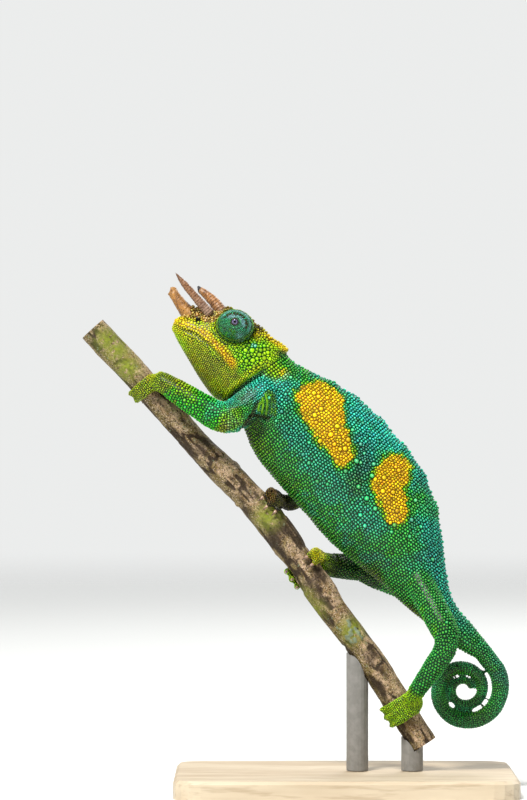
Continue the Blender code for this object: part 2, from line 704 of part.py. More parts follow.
def make_grip(key, wrist_ring, wrist_direction, name, obstacles):
    """A hand or foot: palm and two opposed bundles of toes that clasp the branch."""
    x, palm_angle, first_bundle, second_bundle = GRIPS[key]
    frame = branch_frame(x)
    centre, along, above, branch_radius = frame
    near = np.array((0.0, -1.0, 0.0))
    angle = math.radians(palm_angle)
    outward = above * math.cos(angle) + near * math.sin(angle)
    palm_centre = centre + outward * (branch_radius + PALM_RADIUS * PALM_LIFT)
    wrist_centre = np.mean(wrist_ring, axis=0)
    start_ring = stepped_off(wrist_ring, wrist_direction, GAP * 0.8)
    wrist_radius = np.linalg.norm(wrist_ring[0] - wrist_centre)
    rings = [start_ring]
    start = wrist_centre + wrist_direction * GAP
    span = np.linalg.norm(palm_centre - start)
    side = unit(wrist_ring[0] - wrist_centre)
    handle = start + wrist_direction * span * 0.5
    path = [start]
    sizes = [wrist_radius]
    for t, thickness in SLEEVE:
        path.append(start * (1 - t) ** 2 + handle * 2 * t * (1 - t) + palm_centre * t ** 2)
        sizes.append(thickness * wrist_radius)
    rings += swept_rings(path, sizes, LIMB_SIDES, side)[1:]
    hand = body_from_rings(name, rings)
    pieces = [blob("palm", palm_centre, PALM_RADII, (outward, along, np.cross(outward, along)), 5, 9)]
    for count, end_angle, bundle_offset in (first_bundle, second_bundle):
        for index in range(count):
            rank = index - (count - 1) / 2
            offset = rank * TOE_SPACING + bundle_offset
            shorter = math.copysign(TOE_STEP_BACK * abs(rank), end_angle - palm_angle)
            pieces += toe(frame, palm_angle, end_angle - shorter, offset, TOE_RADIUS)
    combine(hand, pieces, "UNION")
    combine(hand, obstacles, "DIFFERENCE")
    return hand


def rounded_plate(name, length, width, low, high, corner, edge):
    """A flat plate with round corners and a small bevel on its upper edge."""
    outline = []
    for quarter in range(4):
        centre_x = (length / 2 - corner) * (1 if quarter in (0, 3) else -1)
        centre_y = (width / 2 - corner) * (1 if quarter in (0, 1) else -1)
        for step in range(5):
            angle = math.radians(90 * quarter + 22.5 * step)
            outline.append((centre_x, centre_y, math.cos(angle), math.sin(angle)))
    rings = []
    for inset, height in ((0.0, low), (0.0, high - edge), (edge, high)):
        ring = []
        for x, y, out_x, out_y in outline:
            ring.append(np.array((x + out_x * (corner - inset), y + out_y * (corner - inset), height)))
        rings.append(ring)
    return body_from_rings(name, rings)


def make_stand(perch):
    """A flat base and two short rods up to the branch."""
    rounded_plate("stand_base", BASE_LENGTH, BASE_WIDTH, 0.0, BASE_THICKNESS, BASE_CORNER, BASE_EDGE)
    grown_perch = grown_copy(perch)
    for number, x in enumerate(ROD_PLACES, start=1):
        axis_point, along, above, radius = branch_frame(x)
        foot = np.array((x, 0.0, BASE_THICKNESS + GAP))
        top = np.array((x, 0.0, axis_point[2]))
        rings = swept_rings((foot, top), (ROD_RADIUS, ROD_RADIUS), 20, (1.0, 0.0, 0.0))
        rod = body_from_rings("stand_rod_" + str(number), rings)
        combine(rod, [grown_copy(grown_perch, 0.0)], "DIFFERENCE")
    discard([grown_perch])


def paint():
    """A material of its own for every sub-part, in the animal's colours."""
    finishes = {
        "head": (0.42, 0.56, 0.06), "neck": (0.18, 0.50, 0.14), "torso": (0.03, 0.34, 0.22),
        "pelvis": (0.04, 0.30, 0.14), "tail": (0.04, 0.28, 0.12), "eye_turret": (0.03, 0.28, 0.22),
        "eyeball": (0.02, 0.015, 0.02), "horn": (0.42, 0.25, 0.12), "upper_arm": (0.05, 0.40, 0.30),
        "forearm": (0.08, 0.42, 0.10), "hand": (0.30, 0.42, 0.05), "thigh": (0.05, 0.28, 0.10),
        "shin": (0.08, 0.30, 0.08), "foot": (0.35, 0.45, 0.05), "perch": (0.22, 0.16, 0.10),
        "stand_base": (0.55, 0.53, 0.50), "stand_rod": (0.40, 0.39, 0.37),
    }
    for body in bpy.data.objects:
        for word, colour in finishes.items():
            if body.name.startswith(word):
                roughness = 0.15 if word == "eyeball" else 0.6
                body.data.materials.clear()
                body.data.materials.append(material(body.name, colour, roughness))
        body.data.shade_smooth()
        body.data.set_sharp_from_angle(angle=math.radians(40))


def build():
    for old in list(bpy.data.objects):
        bpy.data.objects.remove(old)
    perch = make_perch()
    make_stand(perch)
    head_obstacle, head_back_ring = make_head()
    trunk = make_trunk(head_back_ring)
    horn_guards = make_horns(head_obstacle)
    for side, word in ((-1, "left"), (1, "right")):
        make_eye(side, word, [head_obstacle, horn_guards[1], horn_guards[2]])
    for key in LIMBS:
        if key.endswith("arm"):
            obstacles = [trunk["torso_front"], trunk["neck"], head_obstacle, perch]
        else:
            obstacles = [trunk["pelvis"], trunk["torso_rear"], trunk["tail_base"], perch]
        guard, wrist_ring, wrist_direction, end_name = make_limb(key, obstacles)
        kept_clear = [grown_copy(body) for body in obstacles] + [guard]
        make_grip(key, wrist_ring, wrist_direction, end_name, kept_clear)
    discard([head_obstacle] + horn_guards)
    paint()


build()
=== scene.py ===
# %% [markdown]
# # A three-horned chameleon on a cut branch
# The frame is the imported model: every solid in its place, in metres. This lesson dresses it. One skin is
# grown from the flesh solids, thousands of small domed scales are set on that skin, the horns, claws, eyes
# and branch get shapes and finishes of their own, and the stand gets finishes only.

import itertools
import math

import bmesh
import bpy
import numpy as np
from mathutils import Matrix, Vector
from mathutils.bvhtree import BVHTree
from mathutils.kdtree import KDTree


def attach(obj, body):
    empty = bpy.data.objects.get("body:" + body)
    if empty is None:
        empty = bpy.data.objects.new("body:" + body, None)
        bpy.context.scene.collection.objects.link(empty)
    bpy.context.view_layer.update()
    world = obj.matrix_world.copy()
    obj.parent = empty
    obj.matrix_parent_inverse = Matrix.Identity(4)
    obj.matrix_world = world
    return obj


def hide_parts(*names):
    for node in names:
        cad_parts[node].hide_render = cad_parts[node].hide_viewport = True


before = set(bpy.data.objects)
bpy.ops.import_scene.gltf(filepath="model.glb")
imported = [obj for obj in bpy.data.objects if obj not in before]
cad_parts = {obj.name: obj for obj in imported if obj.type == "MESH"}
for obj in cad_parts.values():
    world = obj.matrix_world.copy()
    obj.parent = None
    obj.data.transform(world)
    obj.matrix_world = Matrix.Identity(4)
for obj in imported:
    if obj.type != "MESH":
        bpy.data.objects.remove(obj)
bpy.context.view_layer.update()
print("frame loaded:", len(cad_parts), "nodes")

# %% [markdown]
# ## The camera
# The photograph looks level at the animal's left side from far away. A long lens at 1.6 m keeps that flat
# view. The sensor's width belongs to the picture's long side, so the lens follows from the height in view.

# %% Camera
MM = 0.001
PHOTO_WIDTH = 527
PHOTO_HEIGHT = 800
PHOTO_SCALE = 0.365             # mm on the object for one pixel of the photograph
PHOTO_ZERO = (345.0, 812.0)     # the pixel over the middle of the layout, at its height zero
STAND_RISE = 8.0                # mm between the layout's height zero and the stand's underside
CAMERA_DISTANCE = 1.6
SENSOR = 36.0


def at_pixel(pixel):
    """x and z in millimetres of a pixel of the photograph, in the animal's middle plane."""
    return np.array(((pixel[0] - PHOTO_ZERO[0]) * PHOTO_SCALE,
                     (PHOTO_ZERO[1] - pixel[1]) * PHOTO_SCALE - STAND_RISE))


centre_x, centre_z = at_pixel((PHOTO_WIDTH / 2, PHOTO_HEIGHT / 2)) * MM
camera_data = bpy.data.cameras.new("photo_view")
camera_data.sensor_width = SENSOR
camera_data.lens = SENSOR * CAMERA_DISTANCE / (PHOTO_HEIGHT * PHOTO_SCALE * MM)
camera = bpy.data.objects.new("photo_view", camera_data)
camera.location = (centre_x, -CAMERA_DISTANCE, centre_z)
camera.rotation_euler = (math.radians(90), 0, 0)
bpy.context.collection.objects.link(camera)
bpy.context.scene.camera = camera
bpy.context.scene.view_settings.view_transform = "Standard"
print("lens", round(camera_data.lens, 1), "mm")

# %% [markdown]
# ## Light and floor
# Soft light comes from a panel above and in front of the animal. A weaker one fills from the left, a third
# lights it from behind, and the pale surroundings light the rest. The floor is a plain disc that fades into
# the surroundings, so that no horizon crosses the picture.

# %% Light
PANELS = (                      # name, place and size in metres, power and colour
    ("key_panel", (-0.42, -0.90, 1.50), 0.45, 42.0, (1.0, 0.985, 0.95)),
    ("fill_panel", (-1.3, -0.8, 0.35), 1.0, 4.0, (0.95, 0.98, 1.0)),
    ("back_panel", (0.5, 1.1, 1.1), 0.9, 14.0, (1.0, 1.0, 1.0)),
)
AIM = Vector((-0.02, 0.0, 0.12))
for name, position, size, power, colour in PANELS:
    data = bpy.data.lights.new(name, "AREA")
    data.size = size
    data.energy = power
    data.color = colour
    panel = bpy.data.objects.new(name, data)
    panel.location = position
    panel.rotation_euler = (AIM - Vector(position)).to_track_quat("-Z", "Y").to_euler()
    bpy.context.collection.objects.link(panel)
SURROUNDINGS = (0.88, 0.89, 0.885)
SEEN_STRENGTH = 0.95            # how bright the surroundings look
LIGHT_STRENGTH = 0.36           # how much light they give
world = bpy.data.worlds.new("pale_surroundings")
world.use_nodes = True
background = world.node_tree.nodes["Background"]
background.inputs["Color"].default_value = (*SURROUNDINGS, 1.0)
looked_at = world.node_tree.nodes.new("ShaderNodeLightPath")
brightness = world.node_tree.nodes.new("ShaderNodeMapRange")
brightness.inputs["To Min"].default_value = LIGHT_STRENGTH
brightness.inputs["To Max"].default_value = SEEN_STRENGTH
world.node_tree.links.new(looked_at.outputs["Is Camera Ray"], brightness.inputs["Value"])
world.node_tree.links.new(brightness.outputs["Result"], background.inputs["Strength"])
bpy.context.scene.world = world
print("lights:", len(PANELS))

# %% [markdown]
# ## Small tools for shapes
# Shapes are worked out as arrays of points in millimetres and turned into a mesh in one go, which is quick
# enough for a million faces. The smooth random values come from a lattice of hashed numbers, so they are
# the same in each run.


# %% Tools for shapes
HASH_FACTORS = np.array((374761393, 668265263, 1440662683))
HASH_SEED = 974711
HASH_MIX = 1274126177
HASH_MASK = 0x7FFFFFFF


def place(x, z, y):
    """A point of the layout as an array, in millimetres above the stand's underside."""
    return np.array((x, y, z - STAND_RISE), dtype=float)


def unit(vectors):
    """Vectors of length one."""
    vectors = np.asarray(vectors, dtype=float)
    return vectors / np.maximum(np.linalg.norm(vectors, axis=-1, keepdims=True), 1e-12)


def ease(values, low, high):
    """Values turned smoothly from 0 at low to 1 at high."""
    share = np.clip((np.asarray(values, dtype=float) - low) / (high - low), 0.0, 1.0)
    return share * share * (3 - 2 * share)


def lattice_noise(points, size, seed):
    """Smooth random values from -1 to 1 at points, on cells of that size in millimetres."""
    cells = np.atleast_2d(points) / size
    low = np.floor(cells).astype(np.int64)
    share = cells - low
    share = share * share * (3 - 2 * share)
    total = np.zeros(len(cells))
    for corner in itertools.product((0, 1), repeat=3):
        at = low + np.array(corner)
        hashed = (at @ HASH_FACTORS + seed * HASH_SEED) & HASH_MASK
        hashed = ((hashed ^ (hashed >> 13)) * HASH_MIX) & HASH_MASK
        weight = np.prod(np.where(np.array(corner) == 1, share, 1 - share), axis=1)
        total += ((hashed ^ (hashed >> 16)) / (HASH_MASK >> 1) - 1) * weight
    return total


def smooth_chain(rows, steps):
    """Rows of numbers run through a Catmull-Rom curve, with that many steps to each span."""
    rows = np.array(rows, dtype=float)
    padded = np.vstack((2 * rows[0] - rows[1], rows, 2 * rows[-1] - rows[-2]))
    chain = []
    for index in range(len(rows) - 1):
        a, b, c, d = padded[index:index + 4]
        for step in range(steps):
            t = step / steps
            chain.append(0.5 * (2 * b + (c - a) * t + (2 * a - 5 * b + 4 * c - d) * t ** 2
                                + (3 * b - a - 3 * c + d) * t ** 3))
    chain.append(rows[-1])
    return np.array(chain)


def resampled(rows, pitch, columns=3):
    """Rows along a path at an even pitch; the first columns are the place."""
    rows = np.array(rows, dtype=float)
    travel = np.concatenate(([0.0], np.cumsum(np.linalg.norm(np.diff(rows[:, :columns], axis=0), axis=1))))
    count = max(int(round(travel[-1] / pitch)), 2)
    at = np.linspace(0.0, travel[-1], count + 1)
    return np.stack([np.interp(at, travel, rows[:, column]) for column in range(rows.shape[1])], axis=1)


def directions_along(points):
    """The direction of travel at each point of a path."""
    return unit(np.gradient(np.asarray(points, dtype=float), axis=0))


def mesh_piece(name, points, corners, counts):
    """A smooth mesh object from arrays: points in millimetres, corner indices, and corners of each face."""
    mesh = bpy.data.meshes.new(name)
    mesh.vertices.add(len(points))
    mesh.vertices.foreach_set("co", (np.asarray(points) * MM).astype(np.float32).ravel())
    mesh.loops.add(len(corners))
    mesh.loops.foreach_set("vertex_index", np.asarray(corners, dtype=np.int32))
    mesh.polygons.add(len(counts))
    mesh.polygons.foreach_set("loop_start", np.concatenate(([0], np.cumsum(counts)[:-1])).astype(np.int32))
    mesh.update(calc_edges=True)
    mesh.shade_smooth()
    piece = bpy.data.objects.new(name, mesh)
    bpy.context.collection.objects.link(piece)
    return piece


def loft(name, rings):
    """A closed mesh whose skin runs through rings of equal numbers of points."""
    rings = np.asarray(rings, dtype=float)
    layers, sides = rings.shape[:2]
    index = np.arange(layers * sides).reshape(layers, sides)
    after = np.roll(index, -1, axis=1)
    quads = np.stack((index[:-1], after[:-1], after[1:], index[1:]), axis=-1).reshape(-1)
    caps = np.concatenate((index[0][::-1], index[-1]))
    counts = np.concatenate((np.full((layers - 1) * sides, 4), (sides, sides)))
    return mesh_piece(name, rings.reshape(-1, 3), np.concatenate((quads, caps)), counts)


def rings_along(centres, radii, sides, start_side):
    """Rings across a path, each with its own radius."""
    centres = np.asarray(centres, dtype=float)
    along = directions_along(centres)
    side = np.asarray(start_side, dtype=float)
    angles = np.linspace(0, 2 * math.pi, sides, endpoint=False)
    rings = []
    for index, centre in enumerate(centres):
        side = unit(side - along[index] * np.dot(side, along[index]))
        other = np.cross(along[index], side)
        spokes = np.cos(angles)[:, None] * side + np.sin(angles)[:, None] * other
        rings.append(centre + spokes * radii[index])
    return np.array(rings)


def set_values(piece, name, values):
    """Store a number or a colour for each vertex of a piece, for its material to read."""
    values = np.asarray(values, dtype=np.float32)
    if values.ndim == 1:
        piece.data.attributes.new(name, "FLOAT", "POINT").data.foreach_set("value", values)
    else:
        full = np.concatenate((values, np.ones((len(values), 1), np.float32)), axis=1)
        piece.data.attributes.new(name, "FLOAT_COLOR", "POINT").data.foreach_set("color", full.ravel())


def points_of(piece):
    """A piece's vertices in millimetres."""
    flat = np.empty(len(piece.data.vertices) * 3, np.float32)
    piece.data.vertices.foreach_get("co", flat)
    return flat.reshape(-1, 3).astype(float) / MM


def normals_of(piece):
    """The smooth normals at a piece's vertices."""
    flat = np.empty(len(piece.data.vertices) * 3, np.float32)
    piece.data.vertices.foreach_get("normal", flat)
    return flat.reshape(-1, 3).astype(float)


def move_points(piece, points):
    """Put a piece's vertices at these points, given in millimetres."""
    piece.data.vertices.foreach_set("co", (points * MM).astype(np.float32).ravel())
    piece.data.update()


def joined_piece(name, pieces):
    """Pieces joined into the first one, which takes the name."""
    for other in bpy.context.selected_objects:
        other.select_set(False)
    for piece in pieces:
        piece.select_set(True)
    bpy.context.view_layer.objects.active = pieces[0]
    bpy.ops.object.join()
    pieces[0].name = name
    pieces[0].select_set(False)
    return pieces[0]


def point_tree(points):
    """A tree that finds the points nearest to a place."""
    tree = KDTree(len(points))
    for number, point in enumerate(points):
        tree.insert(point, number)
    tree.balance()
    return tree


print("tools ready")

# %% [markdown]
# ## Small tools for materials
# A material is a tree of nodes. What several materials share, such as the finish of hide or fine flecks, is
# a node group built once, with named sockets. Colours are named as they look on a screen, from 0 to 255.


# %% Tools for materials
def tint(red, green, blue):
    """A screen colour as the linear values that a shader works with."""
    return np.array([(c / 255 / 12.92) if c <= 10 else ((c / 255 + 0.055) / 1.055) ** 2.4
                     for c in (red, green, blue)])


def new_group(name, inputs, outputs):
    """An empty node group with sockets given as (name, kind, value)."""
    group = bpy.data.node_groups.new(name, "ShaderNodeTree")
    for label, kind, value in inputs:
        socket = group.interface.new_socket(label, in_out="INPUT", socket_type="NodeSocket" + kind)
        socket.default_value = value
    for label, kind in outputs:
        group.interface.new_socket(label, in_out="OUTPUT", socket_type="NodeSocket" + kind)
    return group, group.nodes.new("NodeGroupInput"), group.nodes.new("NodeGroupOutput")


def add_node(tree, kind, settings=(), values=()):
    """A shader node with its settings and the values of its sockets."""
    made = tree.nodes.new("ShaderNode" + kind)
    for key, value in dict(settings).items():
        setattr(made, key, value)
    for key, value in dict(values).items():
        made.inputs[key].default_value = value
    return made


def mixed(tree, share, first, second, blend="MIX"):
    """A node that mixes two colours, each a socket or a fixed colour, by a share."""
    node = add_node(tree, "Mix", {"data_type": "RGBA", "blend_type": blend})
    # A Mix node has sockets for each kind of data. 0 is its share, and 6 and 7 are its two colours.
    for socket, value in ((node.inputs[0], share), (node.inputs[6], first), (node.inputs[7], second)):
        if isinstance(value, bpy.types.NodeSocket):
            tree.links.new(value, socket)
        elif np.ndim(value):
            socket.default_value = (*value, 1.0)
        else:
            socket.default_value = value
    return node.outputs[2]


def sum_node(tree, operation, first, second):
    """A Math node on sockets or numbers."""
    node = add_node(tree, "Math", {"operation": operation})
    for socket, value in zip(node.inputs, (first, second)):
        if isinstance(value, bpy.types.NodeSocket):
            tree.links.new(value, socket)
        else:
            socket.default_value = value
    return node.outputs[0]


def ranged(tree, value, low, high, to_low=0.0, to_high=1.0):
    """A socket's value mapped smoothly from one range to another."""
    node = add_node(tree, "MapRange", {"interpolation_type": "SMOOTHSTEP"},
                    {"From Min": low, "From Max": high, "To Min": to_low, "To Max": to_high})
    tree.links.new(value, node.inputs["Value"])
    return node.outputs["Result"]


def stored(tree, name, output="Fac"):
    """A number or colour that a piece stores for each vertex."""
    return add_node(tree, "Attribute", {"attribute_name": name}).outputs[output]


def flecks_group():
    """Fine and coarse flecks over a surface, from its own coordinates in metres."""
    group, given, out = new_group(
        "flecks", [("Size", "Float", 1000.0), ("Stretch", "Vector", (1.0, 1.0, 1.0))],
        [("Fine", "Float"), ("Coarse", "Float")])
    where = add_node(group, "TexCoord").outputs["Object"]
    scaled = add_node(group, "VectorMath", {"operation": "MULTIPLY"})
    group.links.new(where, scaled.inputs[0])
    group.links.new(given.outputs["Stretch"], scaled.inputs[1])
    for label, factor in (("Fine", 1.0), ("Coarse", 0.22)):
        noise = add_node(group, "TexNoise", {}, {"Detail": 3.0, "Roughness": 0.6})
        group.links.new(scaled.outputs[0], noise.inputs["Vector"])
        group.links.new(sum_node(group, "MULTIPLY", given.outputs["Size"], factor), noise.inputs["Scale"])
        group.links.new(noise.outputs["Fac"], out.inputs[label])
    return group


FLECKS = flecks_group()


def flecks_in(tree, size, stretch=(1.0, 1.0, 1.0)):
    """The flecks group placed in a material with its own values."""
    node = add_node(tree, "Group", {"node_tree": FLECKS})
    node.inputs["Size"].default_value = size
    node.inputs["Stretch"].default_value = stretch
    return node.outputs["Fine"], node.outputs["Coarse"]


def new_material(name, settings):
    """A material with its Principled shader's uniform values set on the shader's own sockets."""
    finish = bpy.data.materials.new(name)
    finish.use_nodes = True
    shader = finish.node_tree.nodes["Principled BSDF"]
    for label, value in settings.items():
        shader.inputs[label].default_value = value
    return finish, finish.node_tree, shader


def add_bump(tree, shader, height, distance, strength):
    """Feed a height to the shader's normal; the distance is in metres."""
    bump = add_node(tree, "Bump", {}, {"Strength": strength, "Distance": distance})
    tree.links.new(height, bump.inputs["Height"])
    tree.links.new(bump.outputs["Normal"], shader.inputs["Normal"])


def connect_grain(tree, shader, colour, grain, low, high, distance, strength):
    """Give a shader its colour, a roughness from low to high by the grain, and the grain's bumps."""
    tree.links.new(colour, shader.inputs["Base Color"])
    tree.links.new(ranged(tree, grain, 0.3, 0.7, low, high), shader.inputs["Roughness"])
    add_bump(tree, shader, grain, distance, strength)


def finish_floor():
    """The plain pale floor, which fades out with distance from the middle."""
    finish, tree, shader = new_material("pale_floor", {"Base Color": (0.80, 0.81, 0.80, 1), "Roughness": 0.7})
    shader.inputs["Specular IOR Level"].default_value = 0.2
    length = add_node(tree, "VectorMath", {"operation": "LENGTH"})
    tree.links.new(add_node(tree, "TexCoord").outputs["Object"], length.inputs[0])
    tree.links.new(ranged(tree, length.outputs["Value"], 0.45, 2.6, 1.0, 0.0), shader.inputs["Alpha"])
    return finish


FLOOR_RADIUS = 2.7
FLOOR_SIDES = 96
floor_angles = np.linspace(0, 2 * math.pi, FLOOR_SIDES, endpoint=False)
floor_ring = np.stack((np.cos(floor_angles), np.sin(floor_angles), np.zeros(FLOOR_SIDES)), axis=1)
floor = mesh_piece("floor", floor_ring * FLOOR_RADIUS / MM, np.arange(FLOOR_SIDES), [FLOOR_SIDES])
floor.data.materials.append(finish_floor())
print("floor radius", FLOOR_RADIUS, "m")

# %% [markdown]
# ## The layout of the animal
# These are the same named sizes that the solids were built from, in millimetres: the trunk's lower and
# upper edge, the tail's coil, the head's own frame, the limbs, and how each hand and foot grips the branch.

# %% Layout
TRUNK_SECTIONS = (
    ((-44.5, 149.8), (-21.6, 166.0), 8.0), ((-42.2, 146.0), (-17.5, 163.4), 8.6),
    ((-37.4, 140.6), (-12.8, 161.3), 9.6), ((-32.9, 130.3), (-2.6, 155.7), 10.8),
    ((-23.4, 118.6), (9.5, 147.1), 12.3), ((-14.6, 108.8), (19.0, 136.9), 12.8),
    ((-5.5, 98.4), (26.6, 127.4), 12.0), ((3.3, 91.2), (32.1, 115.7), 10.4),
    ((12.0, 84.3), (35.0, 103.7), 8.8), ((19.3, 77.4), (36.6, 91.4), 7.0),
    ((26.4, 71.4), (38.2, 81.2), 5.8), ((32.2, 66.6), (41.4, 74.4), 4.8),
    ((39.6, 60.6), (47.2, 67.6), 4.2), ((47.4, 56.2), (52.6, 61.2), 3.6),
)
COIL_CENTRE = (43.6, 44.5)
COIL_START_ANGLE = math.radians(40.0)
COIL_RADIUS = 14.0
COIL_TURNS = 2.1
COIL_PITCH_FIRST = 7.7
COIL_PITCH_EASE = 1.05
TAIL_RADIUS_AT_COIL = 3.4
TAIL_TAPER_PER_TURN = 1.05
TAIL_TIP_RADIUS = 0.7
TAIL_LEAN = 2.6
COIL_ROWS = 48                  # rows of the path for each turn of the coil
SECTION_ROWS = 8                # rows from one of the trunk's sections to the next
BRANCH_SECTIONS = (
    (-92.0, 176.4, 5.2), (-84.0, 167.6, 5.3), (-77.9, 161.4, 5.3), (-73.4, 156.3, 5.1),
    (-65.6, 147.4, 5.1), (-55.4, 135.7, 4.9), (-47.7, 127.8, 5.4), (-42.1, 122.2, 5.5),
    (-34.7, 114.5, 5.4), (-28.4, 107.6, 6.0), (-22.0, 99.5, 5.9), (-15.9, 91.0, 5.1),
    (-9.6, 81.6, 5.9), (-4.8, 73.9, 5.3), (1.1, 66.5, 5.2), (10.1, 54.3, 5.2),
    (17.0, 43.4, 5.3), (23.6, 32.6, 5.2), (28.4, 24.6, 5.3),
)
LIMBS = {
    "left_arm": (((-27.5, -4.5, 154.0), 6.4), ((-43.2, -12.0, 142.2), 6.0), ((-66.2, -8.8, 156.8), 4.0)),
    "right_arm": (((-27.5, 5.0, 150.5), 5.4), ((-12.6, 19.5, 131.5), 4.6), ((-17.2, 9.6, 114.6), 3.3)),
    "left_leg": (((24.5, -2.0, 88.5), 5.6), ((38.0, -17.5, 63.0), 4.4), ((25.6, -10.6, 44.6), 3.2)),
    "right_leg": (((22.8, 2.5, 82.0), 5.2), ((5.6, 17.0, 88.0), 4.2), ((-4.2, 8.8, 89.6), 4.2)),
}
JOINT_ROUNDING = 7.0
GRIPS = {
    "left_arm": (-71.0, 52.0, (2, 168.0, -2.2), (3, -118.0, 1.4)),
    "right_arm": (-30.2, -34.0, (3, 62.0, 0.0), (2, -126.0, 0.0)),
    "left_leg": (20.6, 44.0, (3, 172.0, 0.0), (2, -118.0, 0.0)),
    "right_leg": (-14.6, -38.0, (2, 60.0, -1.0), (3, -190.0, 1.2)),
}
TOE_RADIUS = 1.9
TOE_SPACING = 3.4
TOE_STEP_BACK = 10.0
TOE_TAPER = 0.38                # share of its radius that a toe loses toward its tip
TOE_END = 0.42                  # radius of a toe's rounded end against its root
CLAW_LENGTH = 2.4
CLAW_RADIUS = 0.55
PALM_RADIUS = 3.4
ACROSS = np.array((0.0, 1.0, 0.0))
print("layout:", len(TRUNK_SECTIONS), "sections of the trunk,", len(LIMBS), "limbs")

# %% [markdown]
# ## The head's own frame
# The head is turned up, a little away and a little over. On it, u runs back from the snout, v up from the
# mouth and w to the far side, so that both sides of the head are made from one set of sizes.

# %% Head frame
HEAD_PITCH = math.radians(29.4)
HEAD_YAW = math.radians(4.0)
HEAD_ROLL = math.radians(-2.0)
SNOUT = place(-63.3, 178.1, 2.5)
MOUTH_LINE = ((25.5, -3.2), (21.5, -1.6), (17.0, -0.3), (11.3, 0.6), (6.2, 0.3))
MOUTH_FRONT_V = -0.4
MOUTH_TURN_U = 5.0
NOSTRIL_PLACE = (8.2, 5.8)
CREST_LINE = ((15.2, 14.0, 5.0), (18.8, 15.5, 5.4), (22.6, 15.4, 5.4), (27.0, 14.4, 5.0),
              (31.4, 13.3, 4.5), (36.0, 13.1, 3.6), (40.0, 12.8, 2.2))
TURRET_PLACE = (21.3, 10.0)
TURRET_BASE = 4.4
TURRET_PROFILE = ((0.0, 6.9), (3.8, 6.8), (5.6, 6.35), (7.4, 5.2), (8.7, 3.75), (9.5, 2.5), (9.9, 1.75))
EYE_ASPECT = 0.86               # height of the dressed turret against its length
EYE_TILT = math.radians(24.0)   # how far its long axis is turned up from the head's own back
EYEBALL_DEPTH = 8.8
GAZE = (-0.4, 1.4)
HEAD_SIDE_W = -9.0              # how far out the head's near side lies, where the photograph is read
HORNS = {                       # foot, tip, radii, rings, bow, how worn the end is, how strong the rings are
    "horn_rostral": ((6.4, 5.4, 0.0), (-6.5, 10.9, 0.2), (3.3, 2.35, 1.9), 11, -0.4, 0.9, 0.45),
    "horn_left": ((11.4, 9.8, -5.0), (-7.5, 16.7, -6.4), (1.95, 1.5, 0.35), 22, -0.2, 0.2, 1.0),
    "horn_right": ((14.8, 12.2, 4.8), (1.2, 16.4, 6.0), (2.6, 1.95, 1.1), 14, 0.9, 0.5, 1.0),
}
HORN_SHARES = (0.0, 0.35, 0.75, 1.0)    # where along a horn its width is given
HORN_SWELL = (1.12, 0.85)               # its width at the two inner places, against its middle radius


def head_axes():
    """The head's back, up and far directions."""
    level = np.array((math.cos(HEAD_PITCH), 0.0, -math.sin(HEAD_PITCH)))
    up = np.array((math.sin(HEAD_PITCH), 0.0, math.cos(HEAD_PITCH)))
    back = level * math.cos(HEAD_YAW) - ACROSS * math.sin(HEAD_YAW)
    turned = level * math.sin(HEAD_YAW) + ACROSS * math.cos(HEAD_YAW)
    far = turned * math.cos(HEAD_ROLL) + up * math.sin(HEAD_ROLL)
    return back, up * math.cos(HEAD_ROLL) - turned * math.sin(HEAD_ROLL), far


BACK, UP, FAR = head_axes()


def head_point(u, v, w=0.0):
    """A point given in the head's own frame."""
    return SNOUT + BACK * u + UP * v + FAR * w


def in_head(points):
    """Points as (u, v, w) of the head's own frame."""
    return (np.asarray(points) - SNOUT) @ np.stack((BACK, UP, FAR), axis=1)


def head_pixel(pixel):
    """u and v on the head's near side under a pixel of the photograph."""
    offset = at_pixel(pixel) - (SNOUT + FAR * HEAD_SIDE_W)[[0, 2]]
    return np.linalg.solve(np.stack((BACK[[0, 2]], UP[[0, 2]]), axis=1), offset)


def eye_distance(local, shift=0.0):
    """Distance from a turret's axis in the head's frame, where the turret's outline is a circle."""
    du, dv = (local[:, :2] - TURRET_PLACE - np.array(GAZE) * shift).T
    long_way = du * math.cos(EYE_TILT) + dv * math.sin(EYE_TILT)
    short_way = dv * math.cos(EYE_TILT) - du * math.sin(EYE_TILT)
    return np.hypot(long_way, short_way / EYE_ASPECT)


def horn_distance(local):
    """Distance from the nearest horn's rim at its foot, in the head's frame."""
    away = [np.linalg.norm(local - foot, axis=1) - radii[0] for foot, _, radii, *_ in HORNS.values()]
    return np.min(away, axis=0)


print("snout at", np.round(SNOUT, 1), "mm")

# %% [markdown]
# ## Paths through the body
# The trunk, the coil, each limb and each toe have a path down their middle. The skin's hands and feet are
# lofted along these paths, and later the scales are laid in rings across them, as they grow on the animal.


# %% Paths
def trunk_path():
    """Rows of the trunk and tail: lower edge, upper edge, half width and lean, all in millimetres."""
    flat = [(*low, *top, half, 0.0) for low, top, half in TRUNK_SECTIONS]
    rows = list(smooth_chain(flat, SECTION_ROWS))
    count = int(COIL_TURNS * COIL_ROWS)
    for step in range(1, count + 1):
        turns = COIL_TURNS * step / count
        angle = COIL_START_ANGLE - 2 * math.pi * turns
        radius = COIL_RADIUS - COIL_PITCH_FIRST * turns + COIL_PITCH_EASE * turns ** 2
        thick = max(TAIL_RADIUS_AT_COIL - TAIL_TAPER_PER_TURN * turns, TAIL_TIP_RADIUS)
        outward = np.array((math.cos(angle), math.sin(angle)))
        centre = np.array(COIL_CENTRE) + outward * radius
        lean = TAIL_LEAN * min(turns / 0.5, 1.0)
        rows.append(np.array((*(centre - outward * thick), *(centre + outward * thick), thick, lean)))
    return np.array(rows)


